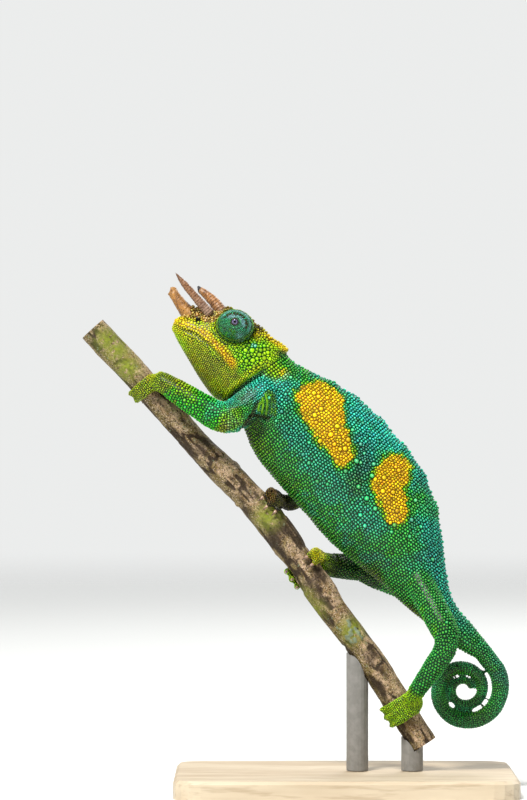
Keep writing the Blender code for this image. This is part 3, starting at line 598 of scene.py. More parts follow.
def limb_path(key):
    """Centres and radii along a limb, rounded at its joint."""
    (root, root_radius), (joint, joint_radius), (end, end_radius) = LIMBS[key]
    root, joint, end = (place(point[0], point[2], point[1]) for point in (root, joint, end))
    reach_in = min(JOINT_ROUNDING, 0.45 * np.linalg.norm(joint - root))
    reach_out = min(JOINT_ROUNDING, 0.45 * np.linalg.norm(end - joint))
    start = joint - unit(joint - root) * reach_in
    finish = joint + unit(end - joint) * reach_out
    bend = [start * (1 - t) ** 2 + joint * 2 * t * (1 - t) + finish * t ** 2 for t in np.linspace(0, 1, 9)]
    centres = np.array([root, (root + start) / 2, *bend, finish * 0.5 + end * 0.5, end])
    middle = len(centres) - 3
    radii = np.interp(np.arange(len(centres)), (0, middle / 2 + 1, len(centres) - 1),
                      (root_radius, joint_radius, end_radius))
    return centres, radii


BRANCH = smooth_chain([(x, 0.0, z - STAND_RISE, radius) for x, z, radius in BRANCH_SECTIONS], 6)


def branch_frame(x):
    """Axis point, direction, upper side and radius of the branch at one x."""
    index = int(np.argmin(np.abs(BRANCH[1:-1, 0] - x))) + 1
    along = unit(BRANCH[index + 1, :3] - BRANCH[index - 1, :3])
    above = np.array((-along[2], 0.0, along[0]))
    return BRANCH[index, :3], along, above, BRANCH[index, 3]


def toe_path(grip, start_angle, end_angle, offset):
    """Centres and radii of one toe bent round the branch, and the claw's root, reach and inward turn."""
    centre, along, above, branch_radius = grip
    near = -ACROSS
    share = np.linspace(0.0, 1.0, 15)
    angles = np.radians(start_angle + (end_angle - start_angle) * share)
    distance = branch_radius + TOE_RADIUS * (1.02 - TOE_TAPER * share)
    outward = np.cos(angles)[:, None] * above + np.sin(angles)[:, None] * near
    points = centre + along * (offset * (0.8 + 0.2 * share))[:, None] + outward * distance[:, None]
    knuckles = 1 + 0.05 * np.cos(share * 4 * math.pi)
    radii = TOE_RADIUS * (1.0 - TOE_TAPER * share) * knuckles
    reach = unit(points[-1] - points[-3])
    tip = points[-1] + reach * TOE_RADIUS * TOE_END
    points = np.vstack((points, points[-1] + reach * TOE_RADIUS * TOE_END * 0.6, tip))
    radii = np.append(radii, (TOE_RADIUS * 0.52, TOE_RADIUS * 0.34))
    inward = unit(centre + along * offset - points[-1])
    return points, radii, (points[-3], reach, inward, along)


def grip_paths(key):
    """The path of the palm and of every toe of one hand or foot."""
    x, palm_angle, first_bundle, second_bundle = GRIPS[key]
    grip = branch_frame(x)
    centre, along, above, branch_radius = grip
    outward = above * math.cos(math.radians(palm_angle)) - ACROSS * math.sin(math.radians(palm_angle))
    palm = centre + outward * (branch_radius + PALM_RADIUS * 0.72)
    limb, limb_radii = limb_path(key)
    direction = unit(limb[-1] - limb[-2])
    wrist = limb[-1] - direction * 1.0
    handle = limb[-1] + direction * np.linalg.norm(palm - limb[-1]) * 0.5
    share = np.linspace(0.0, 1.0, 9)[:, None]
    sleeve = wrist * (1 - share) ** 2 + handle * 2 * share * (1 - share) + palm * share ** 2
    radii = np.interp(share[:, 0], (0, 0.3, 0.6, 1.0), np.array((1.0, 1.02, 0.98, 0.68)) * limb_radii[-1])
    toes = []
    for count, end_angle, bundle_offset in (first_bundle, second_bundle):
        for index in range(count):
            rank = index - (count - 1) / 2
            shorter = math.copysign(TOE_STEP_BACK * abs(rank), end_angle - palm_angle)
            toes.append(toe_path(grip, palm_angle, end_angle - shorter, rank * TOE_SPACING + bundle_offset))
    return palm, outward, along, (sleeve, radii), toes


TRUNK = trunk_path()
print("trunk rows", len(TRUNK), "toes", sum(len(grip_paths(key)[4]) for key in GRIPS))

# %% [markdown]
# ## One skin
# The flesh solids meet with thin gaps between them. Copies of them, grown a little so that they overlap,
# are joined with finer hands and feet and remeshed by voxels into one closed surface. Smoothing removes the
# solids' flat sides and the steps at their joins, and the skin is then drawn in by the depth of its scales.

# %% Skin sizes
TAIL_START_ROW = 76             # the trunk's row, inside the pelvis, where the skin's tail begins
TAIL_SIDES = 32
SLEEVE_SIDES = 20
TOE_SIDES = 14
PALM_RADII = np.array((2.6, 4.0, 3.8))
TAIL_FROM_X = (35.0, 41.0)      # mm over which the skin's inset changes to the tail's
TAIL_BELOW_Z = (62.0, 68.0)
FLESH = ["head", "neck", "torso_front", "torso_rear", "pelvis", "tail_base", "tail_coil_1", "tail_coil_2",
         "tail_coil_3", "tail_coil_4", "tail_tip", "upper_arm_left", "upper_arm_right", "forearm_left",
         "forearm_right", "thigh_left", "thigh_right", "shin_left", "shin_right"]
GRIPPING = ["hand_left", "hand_right", "foot_left", "foot_right"]
WELD = 0.01
GROW = 0.25
TAIL_GROW = 0.1                 # less than the rest, so that the coil's turns stay apart
VOXEL = 0.46
COAT_DEPTH = 0.34
SMOOTH_ROUNDS = 5
BLEND_ROUNDS = 30
BLEND_PLACES = (                # where a limb flows into the trunk: place and reach in millimetres
    (place(-27.5, 154.0, -9.0), 9.0), (place(-27.5, 150.5, 9.0), 8.0),
    (place(25.0, 86.0, -8.0), 8.0), (place(22.0, 83.0, 8.0), 8.0),
    (place(-44.0, 152.0, 0.0), 6.0), (place(-67.5, 157.5, -9.0), 7.0),
)
print("flesh solids:", len(FLESH), "and", len(GRIPPING), "to grip with")


# %% Bodies under the skin
def grown(name, source):
    """A copy of a solid with its split corners welded and its surface moved out."""
    copy = bpy.data.objects.new(name, source.data.copy())
    bpy.context.collection.objects.link(copy)
    welded = bmesh.new()
    welded.from_mesh(copy.data)
    bmesh.ops.remove_doubles(welded, verts=welded.verts, dist=WELD * MM)
    welded.to_mesh(copy.data)
    welded.free()
    move_points(copy, points_of(copy) + normals_of(copy) * GROW)
    return copy


def egg(name, centre, axes, radii, rows=12, sides=20):
    """An egg-shaped closed mesh."""
    angles = np.linspace(0, math.pi, rows + 1)[1:-1]
    turn = np.linspace(0, 2 * math.pi, sides, endpoint=False)
    rings = []
    for angle in angles:
        spokes = (np.cos(turn)[:, None] * axes[1] * radii[1] + np.sin(turn)[:, None] * axes[2] * radii[2])
        rings.append(centre + axes[0] * radii[0] * math.cos(angle) + spokes * math.sin(angle))
    return loft(name, rings)


def skin_bodies():
    """Grown copies of the flesh solids, and the fine hands and feet."""
    bodies = []
    for node in FLESH:
        if not node.startswith("tail"):
            bodies.append(grown("flesh_" + node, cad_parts[node]))
    turn = np.linspace(0, 2 * math.pi, TAIL_SIDES, endpoint=False)[:, None]
    rings = []
    for row in TRUNK[TAIL_START_ROW:]:
        low, top = np.array((row[0], row[5], row[1])), np.array((row[2], row[5], row[3]))
        rise = unit(top - low)
        half = np.linalg.norm(top - low) / 2 + TAIL_GROW
        middle = (low + top) / 2 - np.array((0.0, 0.0, STAND_RISE))
        rings.append(middle + rise * half * np.cos(turn) + ACROSS * (row[4] + TAIL_GROW) * np.sin(turn))
    bodies.append(loft("flesh_tail", rings))
    for key in GRIPS:
        palm, outward, along, (sleeve, radii), toes = grip_paths(key)
        axes = (outward, along, np.cross(outward, along))
        bodies.append(egg("palm_" + key, palm, axes, PALM_RADII + GROW))
        bodies.append(loft("sleeve_" + key, rings_along(sleeve, radii + GROW, SLEEVE_SIDES, axes[1])))
        for number, (points, toe_radii, _) in enumerate(toes):
            rings = rings_along(points, toe_radii + GROW, TOE_SIDES, along)
            bodies.append(loft(f"toe_{key}_{number}", rings))
    return bodies


print("bodies are copied with", GROW, "mm added")


# %% Fusing
def keep_largest(piece):
    """Delete every closed surface of a mesh but the largest, such as pockets left inside it."""
    ends = np.empty(len(piece.data.edges) * 2, np.int32)
    piece.data.edges.foreach_get("vertices", ends)
    one, two = ends.reshape(-1, 2).T
    labels = np.arange(len(piece.data.vertices))
    while True:
        lower = np.minimum(labels[one], labels[two])
        found = labels.copy()
        np.minimum.at(found, one, lower)
        np.minimum.at(found, two, lower)
        found = found[found]
        if np.array_equal(found, labels):
            break
        labels = found
    names, counts = np.unique(labels, return_counts=True)
    stray = np.flatnonzero(labels != names[np.argmax(counts)])
    print("closed surfaces:", len(names), "- vertices left out:", len(stray))
    if len(stray):
        cleaned = bmesh.new()
        cleaned.from_mesh(piece.data)
        cleaned.verts.ensure_lookup_table()
        bmesh.ops.delete(cleaned, geom=[cleaned.verts[index] for index in stray], context="VERTS")
        cleaned.to_mesh(piece.data)
        cleaned.free()


def fused(name, bodies):
    """Bodies joined and remeshed by voxels into one closed surface."""
    joined = joined_piece(name, bodies)
    joined.data.materials.clear()
    remesh = joined.modifiers.new("fuse", "REMESH")
    remesh.mode = "VOXEL"
    remesh.voxel_size = VOXEL * MM
    made = bpy.data.meshes.new_from_object(joined.evaluated_get(bpy.context.evaluated_depsgraph_get()))
    joined.modifiers.clear()
    joined.data = made
    keep_largest(joined)
    joined.data.shade_smooth()
    return joined


def neighbour_average(piece):
    """A function that averages values over each vertex's neighbours in a mesh."""
    flat = np.empty(len(piece.data.edges) * 2, np.int32)
    piece.data.edges.foreach_get("vertices", flat)
    one, two = flat.reshape(-1, 2).T
    total = len(piece.data.vertices)
    count = np.maximum(np.bincount(flat, minlength=total), 1)

    def average(values):
        columns = []
        for column in np.asarray(values, dtype=float).reshape(total, -1).T:
            sums = np.bincount(one, column[two], total) + np.bincount(two, column[one], total)
            columns.append(sums / count)
        return np.stack(columns, axis=1)
    return average


def smoothed(points, average, rounds, strength=0.5):
    """Points moved toward their neighbours' mean, round by round; strength may differ by vertex."""
    for _ in range(rounds):
        points = points + (average(points) - points) * strength
    return points


# %% The skin
skin = fused("chameleon_skin", skin_bodies())
skin_average = neighbour_average(skin)
skin_points = smoothed(points_of(skin), skin_average, SMOOTH_ROUNDS)
blend_strength = np.zeros(len(skin_points))
for middle, reach in BLEND_PLACES:
    away = np.linalg.norm(skin_points - middle, axis=1)
    blend_strength = np.maximum(blend_strength, 1 - ease(away, reach * 0.4, reach))
skin_points = smoothed(skin_points, skin_average, BLEND_ROUNDS, 0.5 * blend_strength[:, None])
move_points(skin, skin_points)
on_tail = ease(skin_points[:, 0], *TAIL_FROM_X) * (1 - ease(skin_points[:, 2], *TAIL_BELOW_Z))
inset = COAT_DEPTH + GROW + (TAIL_GROW - GROW) * on_tail
skin_points = skin_points - normals_of(skin) * inset[:, None]
move_points(skin, skin_points)
print("skin:", len(skin.data.vertices), "vertices,", len(skin.data.polygons), "faces")

# %% [markdown]
# ## Folds and features of the skin
# A skin has more than its solids' outline. The throat's fold, the groove of the mouth, the lips, the rim
# round each eye, the nostrils and the creases at the armpit are drawn into it along named lines: each
# vertex moves along its normal by a rounded amount that depends on its distance from the line. The mounds
# round the horns' feet and the low bumps on the back's edge rise in the same way round named places.

# %% Lines on the head, read from the photograph
FOLD_PIXELS = ((258.0, 367.6), (246.0, 376.0), (236.0, 384.0), (229.6, 389.3), (225.0, 396.0), (222.0, 403.0))
LIP_ABOVE = 1.15                # v that the upper lip's row lies above the mouth's line
LIP_BELOW = -1.05
SOCKET_RIM = 7.9                # radius of the raised rim round each eye, in the head's frame
SHEATH_LINE = ((7.6, 8.6), (3.6, 10.0))     # where scales climb the back of the snout's horn
BROW_LIFT = 0.7                 # how far the brow's ridge stands above the solid's
MOUNDS = (                      # round the horns' feet: middle in the head's frame, reach and lift in mm
    ((5.4, 8.6, 0.0), 5.0, 2.6), ((9.4, 8.2, -1.8), 5.0, 1.4),
)
BACK_BUMPS = (                  # pixels of the photograph on the back's edge
    (335, 381), (355, 397), (383, 421), (408, 444), (427, 474), (438, 508),
)
BACK_BUMP_REACH = 4.6
BACK_BUMP_LIFT = 0.8
ARMPIT_GROOVES = (              # line in the photograph, depth and width in mm
    (((258.0, 403.0), (251.5, 414.5), (246.5, 422.0), (241.5, 428.5)), 0.9, 1.1),
    (((250.5, 416.0), (257.0, 414.5), (263.0, 416.5), (269.0, 418.5)), 0.9, 1.2),
)
ARMPIT_FOLDS = (
    (((260.6, 402.0), (259.0, 406.0), (258.2, 410.5)), 0.40, 0.70),
    (((262.6, 398.0), (263.2, 405.0), (261.8, 412.8)), 0.42, 0.75),
    (((265.4, 394.0), (267.4, 402.0), (266.0, 414.0)), 0.42, 0.80),
    (((268.6, 392.0), (271.8, 401.0), (271.2, 413.0)), 0.26, 0.70),
    (((272.0, 393.0), (275.6, 402.0), (275.0, 414.0)), 0.18, 0.70),
)
SHIN_FULLER = (place(-4.2, 90.6, 8.8), place(3.6, 89.8, 15.0))   # line round which the far shin is fuller


def at_pixels(pixels):
    """x and z in millimetres of each pixel of a line."""
    return [at_pixel(pixel) for pixel in pixels]


def line_distance(points, line):
    """Distance of points to a polyline in as many dimensions as it has, and the share along it."""
    best = np.full(len(points), 1e9)
    share = np.zeros(len(points))
    spans = len(line) - 1
    for index in range(spans):
        start, end = np.asarray(line[index], float), np.asarray(line[index + 1], float)
        t = np.clip(((points - start) @ (end - start)) / np.dot(end - start, end - start), 0, 1)
        away = np.linalg.norm(points - start - t[:, None] * (end - start), axis=1)
        closer = away < best
        best = np.where(closer, away, best)
        share = np.where(closer, (index + t) / spans, share)
    return best, share


def hump(away, width):
    """1 on a line, falling smoothly to 0 at that distance."""
    return 1 - ease(away, 0.0, width)


HEAD_FOLD = [head_pixel(pixel) for pixel in FOLD_PIXELS]
MOUTH_TRACE = [(31.0, -5.4)] + list(MOUTH_LINE) + [(MOUTH_TURN_U - 4.6, MOUTH_FRONT_V)]


def region_of_points(points, names):
    """Which of the named solids each point is nearest to."""
    corners, faces, owner = [], [], []
    for index, name in enumerate(names):
        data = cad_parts[name].data
        offset = len(corners)
        corners.extend(vertex.co.copy() for vertex in data.vertices)
        faces.extend([offset + corner for corner in face.vertices] for face in data.polygons)
        owner.extend([index] * len(data.polygons))
    nearest_tree = BVHTree.FromPolygons(corners, faces)
    return np.array([owner[nearest_tree.find_nearest(Vector(point))[2]] for point in points * MM])


SKIN_NODES = FLESH + GRIPPING
skin_region = region_of_points(skin_points, SKIN_NODES)
print("lines ready; the skin lies over", len(np.unique(skin_region)), "solids")


def is_region(regions, *words):
    """A mask of the points whose solid's name starts with one of the words."""
    wanted = [index for index, name in enumerate(SKIN_NODES) if name.startswith(words)]
    return np.isin(regions, wanted)


# %% Relief
def fold_height(points):
    """Height of the soft folds behind the near arm."""
    height = np.zeros(len(points))
    for pixels, rise, width in ARMPIT_FOLDS:
        ridge, _ = line_distance(points[:, [0, 2]], at_pixels(pixels))
        height = np.maximum(height, rise * hump(ridge, width) * (points[:, 1] < 0.0))
    return height


def skin_relief(points, regions):
    """How far each vertex of the skin moves out for its folds and features."""
    relief = np.zeros(len(points))
    local = in_head(points)
    side_view = local[:, :2]
    head = is_region(regions, "head").astype(float)
    head_or_neck = is_region(regions, "head", "neck").astype(float)
    outer = ease(np.abs(local[:, 2]), 2.0, 5.0)
    mouth, _ = line_distance(side_view, MOUTH_TRACE)
    upper, _ = line_distance(side_view, [(u, v + LIP_ABOVE) for u, v in MOUTH_TRACE])
    lower, _ = line_distance(side_view, [(u, v + LIP_BELOW) for u, v in MOUTH_TRACE])
    before_corner = 1 - ease(local[:, 0], 26.0, 31.0)
    from_front = ease(local[:, 0], 2.0, 7.0)
    lips = 0.30 * hump(upper, 1.5) + 0.15 * hump(lower, 1.4) - 0.40 * hump(mouth, 0.7)
    relief += head * before_corner * from_front * lips
    eye = eye_distance(local)
    relief += head * outer * (0.50 * hump(np.abs(eye - SOCKET_RIM), 1.2) - 0.5 * hump(np.abs(eye - 7.0), 0.8))
    fold, _ = line_distance(side_view, HEAD_FOLD)
    behind, _ = line_distance(side_view, [(u + 1.9, v - 0.9) for u, v in HEAD_FOLD])
    relief += head_or_neck * (0.75 * hump(fold, 1.7) - 0.6 * hump(behind, 1.9))
    nostril = np.hypot(local[:, 0] - NOSTRIL_PLACE[0], local[:, 1] - NOSTRIL_PLACE[1])
    relief += head * outer * (0.3 * hump(np.abs(nostril - 1.3), 0.8) - 0.9 * hump(nostril, 0.95))
    brow, _ = line_distance(np.column_stack((side_view, np.abs(local[:, 2]))), CREST_LINE[:5])
    relief += head * BROW_LIFT * hump(brow, 3.0)
    for middle, reach, lift in MOUNDS:
        relief += head * lift * hump(np.linalg.norm(local - middle, axis=1), reach)
    near_side = points[:, 1] < 0.0
    where = points[:, [0, 2]]
    for pixels, depth, width in ARMPIT_GROOVES:
        groove, _ = line_distance(where, at_pixels(pixels))
        relief -= near_side * depth * hump(groove, width)
    for pixel in BACK_BUMPS:
        away = np.linalg.norm(where - at_pixel(pixel), axis=1)
        relief += BACK_BUMP_LIFT * is_region(regions, "torso") * hump(away, BACK_BUMP_REACH)
    relief += fold_height(points)
    shin, _ = line_distance(points, SHIN_FULLER)
    relief += 0.75 * is_region(regions, "shin_right") * hump(shin, 7.5)
    return relief + 0.12 * lattice_noise(points, 4.0, 3)


skin_points = skin_points + normals_of(skin) * skin_relief(skin_points, skin_region)[:, None]
move_points(skin, skin_points)
skin_normals = normals_of(skin)
skin_tree = BVHTree.FromObject(skin, bpy.context.evaluated_depsgraph_get())
skin_index = point_tree(skin_points)
print("relief drawn;", int(is_region(skin_region, "head").sum()), "vertices on the head")

# %% [markdown]
# ## The markings
# Skin and scales wear the same markings. A painter function gives each point its colour from listed layers: a
# ramp from belly to back, two yellow patches with ragged edges, lines along the head's features, and soft
# blotches. Each scale is asked once, so that every scale has one colour of its own.

# %% Colours
PALETTE = {
    "turquoise": tint(20, 166, 140), "pale_turquoise": tint(60, 202, 182), "teal": tint(10, 122, 110),
    "deep_teal": tint(6, 76, 72), "emerald": tint(18, 142, 62), "leaf": tint(70, 168, 26),
    "bright_leaf": tint(46, 184, 52), "dark_green": tint(14, 66, 24), "moss": tint(70, 98, 26),
    "yellow": tint(240, 200, 28), "amber": tint(214, 140, 16), "cream": tint(240, 232, 130),
    "lemon": tint(206, 188, 28), "lime": tint(150, 196, 30), "olive": tint(132, 138, 24),
    "dark_olive": tint(78, 90, 20), "orange": tint(236, 150, 44), "brown": tint(126, 84, 44),
    "dark_brown": tint(58, 38, 26), "lilac_grey": tint(128, 142, 132), "umber": tint(38, 28, 18),
    "mint": tint(120, 226, 160), "tan": tint(204, 160, 96), "sea": tint(16, 160, 100),
}


def layered(colours, name, share):
    """Colours with one named colour mixed in by a share for each point."""
    share = np.clip(share, 0.0, 1.0)[:, None]
    return colours * (1 - share) + PALETTE[name] * share


def blotches(colours, where, spots, from_pixel):
    """Round soft spots of colour: name, pixel in the photograph, radius in millimetres and strength."""
    flat = np.column_stack((where, np.zeros(len(where))))
    ragged = lattice_noise(flat, 2.4, 15) + 0.6 * lattice_noise(flat, 1.1, 16)
    for name, pixel, radius, strength in spots:
        away = np.linalg.norm(where - from_pixel(pixel), axis=1) * (1 + 0.35 * ragged)
        colours = layered(colours, name, strength * (1 - ease(away, radius * 0.45, radius)))
    return colours


def inside(where, outline):
    """Signed distance to a closed outline in the side view, positive inside it."""
    outline = [np.asarray(corner, float) for corner in outline]
    away, _ = line_distance(where, outline + [outline[0]])
    crossings = np.zeros(len(where), dtype=int)
    for (x0, z0), (x1, z1) in zip(outline, outline[1:] + [outline[0]]):
        spans = (z0 > where[:, 1]) != (z1 > where[:, 1])
        at = x0 + (where[:, 1] - z0) * (x1 - x0) / (z1 - z0 + 1e-12)
        crossings += spans & (where[:, 0] < at)
    return np.where(crossings % 2 == 1, away, -away)


print("colours named:", len(PALETTE))

# %% Body markings
PATCH_PIXELS = {
    "front": ((318, 382), (304, 387), (295, 394), (301, 413), (310, 428), (321, 443), (334, 460), (344, 468),
              (350, 460), (352, 446), (344, 424), (343, 402), (334, 388)),
    "rear": ((381, 460), (390, 455), (399, 456), (410, 467), (408, 480), (403, 486), (406, 508), (403, 523),
             (394, 524), (385, 516), (376, 497), (371, 480)),
}
BODY_SPOTS = (                  # colour, pixel in the photograph, radius in mm, strength
    # The first dark green spot is painted shade under the near arm.
    ("dark_green", (254, 430), 7.0, 0.75), ("emerald", (270, 470), 12.0, 0.45),
    ("moss", (248, 446), 5.5, 0.6),
    ("deep_teal", (360, 440), 6.5, 0.6), ("deep_teal", (364, 466), 5.5, 0.55),
    ("dark_green", (352, 486), 5.5, 0.55), ("turquoise", (372, 420), 8.0, 0.6),
    ("turquoise", (352, 405), 6.0, 0.4), ("pale_turquoise", (287, 380), 6.0, 0.35),
    ("turquoise", (318, 460), 9.0, 0.45), ("emerald", (330, 520), 12.0, 0.5),
    ("turquoise", (375, 520), 8.0, 0.35), ("emerald", (300, 500), 9.0, 0.5), ("leaf", (385, 452), 4.0, 0.5),
    ("leaf", (408, 500), 7.0, 0.5), ("leaf", (404, 540), 9.0, 0.45), ("emerald", (398, 590), 9.0, 0.6),
    ("dark_green", (368, 570), 8.0, 0.5), ("lime", (277, 374), 4.2, 0.7), ("yellow", (279, 373), 2.4, 0.8),
    ("leaf", (300, 377), 5.0, 0.35), ("dark_brown", (303, 393), 1.6, 0.7),
    ("leaf", (284, 366), 7.5, 0.8), ("lime", (272, 370), 5.0, 0.75), ("yellow", (284, 374), 2.2, 0.6),
    ("emerald", (302, 370), 6.0, 0.5), ("leaf", (308, 378), 4.0, 0.5),
    ("pale_turquoise", (348, 408), 7.5, 0.75), ("pale_turquoise", (372, 426), 8.5, 0.8),
    ("pale_turquoise", (392, 444), 6.5, 0.7), ("pale_turquoise", (278, 392), 7.0, 0.5),
    ("pale_turquoise", (262, 388), 5.0, 0.5), ("turquoise", (304, 436), 9.0, 0.6),
    ("turquoise", (330, 490), 8.0, 0.5), ("deep_teal", (330, 392), 4.0, 0.5),
    ("leaf", (425, 505), 8.0, 0.5),
    ("emerald", (345, 545), 11.0, 0.5), ("turquoise", (352, 515), 8.0, 0.4),
)
PATCHES = [at_pixels(outline) for outline in PATCH_PIXELS.values()]
trunk_low, trunk_top = TRUNK[:, 0:2], TRUNK[:, 2:4]
trunk_middle = (trunk_low + trunk_top) / 2 - np.array((0.0, STAND_RISE))
trunk_index = point_tree([(x, z, 0.0) for x, z in trunk_middle])


def trunk_share(points):
    """Where points lie on the trunk: the row's number and the share from lower to upper edge."""
    rows = np.array([trunk_index.find((x, z, 0.0))[1] for x, _, z in points])
    rise = (trunk_top - trunk_low)[rows]
    offset = points[:, [0, 2]] + np.array((0.0, STAND_RISE)) - trunk_low[rows]
    return rows, np.einsum("ij,ij->i", offset, rise) / np.einsum("ij,ij->i", rise, rise)


def paint_armpit(colours, points):
    """The hollow behind the near arm: painted shade in its grooves and round its folds, and yellow-green
    folds.
    """
    where = points[:, [0, 2]]
    near_side = points[:, 1] < 0.0
    for pixels, _, width in ARMPIT_GROOVES:
        groove, _ = line_distance(where, at_pixels(pixels))
        # Painted shade: umber along each groove.
        colours = layered(colours, "umber", 0.85 * near_side * hump(groove, width * 1.1))
    for pixels, _, width in ARMPIT_FOLDS:
        fold, _ = line_distance(where, at_pixels(pixels))
        # Painted shade: dark green round each fold, in the creases between them.
        colours = layered(colours, "dark_green", 0.8 * near_side * hump(fold, width * 2.0))
    soft = fold_height(points) * (1 + 0.4 * lattice_noise(points, 1.2, 17))
    return layered(layered(colours, "leaf", soft * 2.2), "lime", soft * 1.3)


def paint_body(points):
    """The trunk and tail: green along the belly, turquoise above, with two yellow patches."""
    rows, share = trunk_share(points)
    where = points[:, [0, 2]]
    cloud = lattice_noise(points, 7.0, 11) + 0.5 * lattice_noise(points, 2.6, 12)
    share = share + 0.07 * cloud
    colours = np.tile(PALETTE["moss"], (len(points), 1))
    for name, low, high in (("emerald", 0.02, 0.16), ("sea", 0.24, 0.46), ("turquoise", 0.54, 0.80)):
        colours = layered(colours, name, ease(share, low, high))
    colours = blotches(colours, where, BODY_SPOTS, at_pixel)
    colours = paint_armpit(colours, points)
    colours = layered(colours, "emerald", 0.75 * ease(rows, 76, 100))
    colours = layered(colours, "teal", 0.45 * ease(cloud, 0.35, 0.9))
    colours = layered(colours, "leaf", 0.30 * ease(-cloud, 0.35, 1.0))
    bands = 0.5 + 0.5 * np.sin(rows * 0.55)
    colours = layered(colours, "dark_green", 0.5 * bands * ease(rows, 100, 112))
    ragged = 1.2 * lattice_noise(points, 1.9, 13) + 0.5 * lattice_noise(points, 0.9, 14)
    for outline in PATCHES:
        depth = inside(where, outline) + ragged
        colours = layered(colours, "leaf", 0.6 * ease(depth, -2.6, -0.8))
        colours = layered(colours, "lime", 0.75 * ease(depth, -1.3, -0.2))
        colours = layered(colours, "yellow", ease(depth, -0.5, 0.25))
        colours = layered(colours, "amber", 0.3 * ease(depth, 0.2, 1.0) * ease(cloud, -0.1, 0.9))
    return colours


print("body markings:", len(BODY_SPOTS), "spots and", len(PATCHES), "patches")

# %% Head markings
HEAD_SPOTS = (                  # colour, pixel in the photograph, radius in mm, strength
    ("olive", (205, 362), 12.0, 0.9), ("olive", (196, 345), 7.0, 0.7), ("dark_olive", (214, 366), 7.5, 0.75),
    ("olive", (228, 385), 9.0, 0.7), ("dark_olive", (240, 374), 4.5, 0.5), ("lime", (178, 345), 5.0, 0.35),
    ("lemon", (180, 322), 7.5, 0.6), ("lemon", (192, 330), 6.0, 0.4), ("olive", (184, 325), 6.0, 0.35),
    ("lime", (222, 346), 7.0, 0.7),
    ("lemon", (210, 322), 6.0, 0.6), ("brown", (192, 311), 3.4, 0.7), ("brown", (200, 312), 4.4, 0.8),
    ("leaf", (250, 352), 10.0, 0.8), ("bright_leaf", (256, 350), 6.0, 0.4), ("lime", (262, 362), 7.5, 0.6),
    ("turquoise", (253.5, 345.5), 1.3, 0.9), ("orange", (258, 335), 2.6, 0.65),
    ("leaf", (265, 340), 5.0, 0.5),
    ("lime", (275, 358), 7.0, 0.6), ("bright_leaf", (247, 361), 4.0, 0.4),
    ("dark_green", (284, 354.5), 2.4, 0.95), ("dark_green", (279, 352), 2.0, 0.7),
)
BROW_PIXELS = ((203, 313), (213, 310), (223, 311), (232, 308), (243, 310), (252, 317), (260, 329))
BROW_EDGE = ((0.0, 3.0, 8.0, 13.0, 16.0, 20.0), (4.6, 5.3, 7.0, 8.0, 12.0, 15.2))    # u, and v above it
CASQUE_PIXELS = ((262, 331), (270, 338), (279, 343), (287, 349))


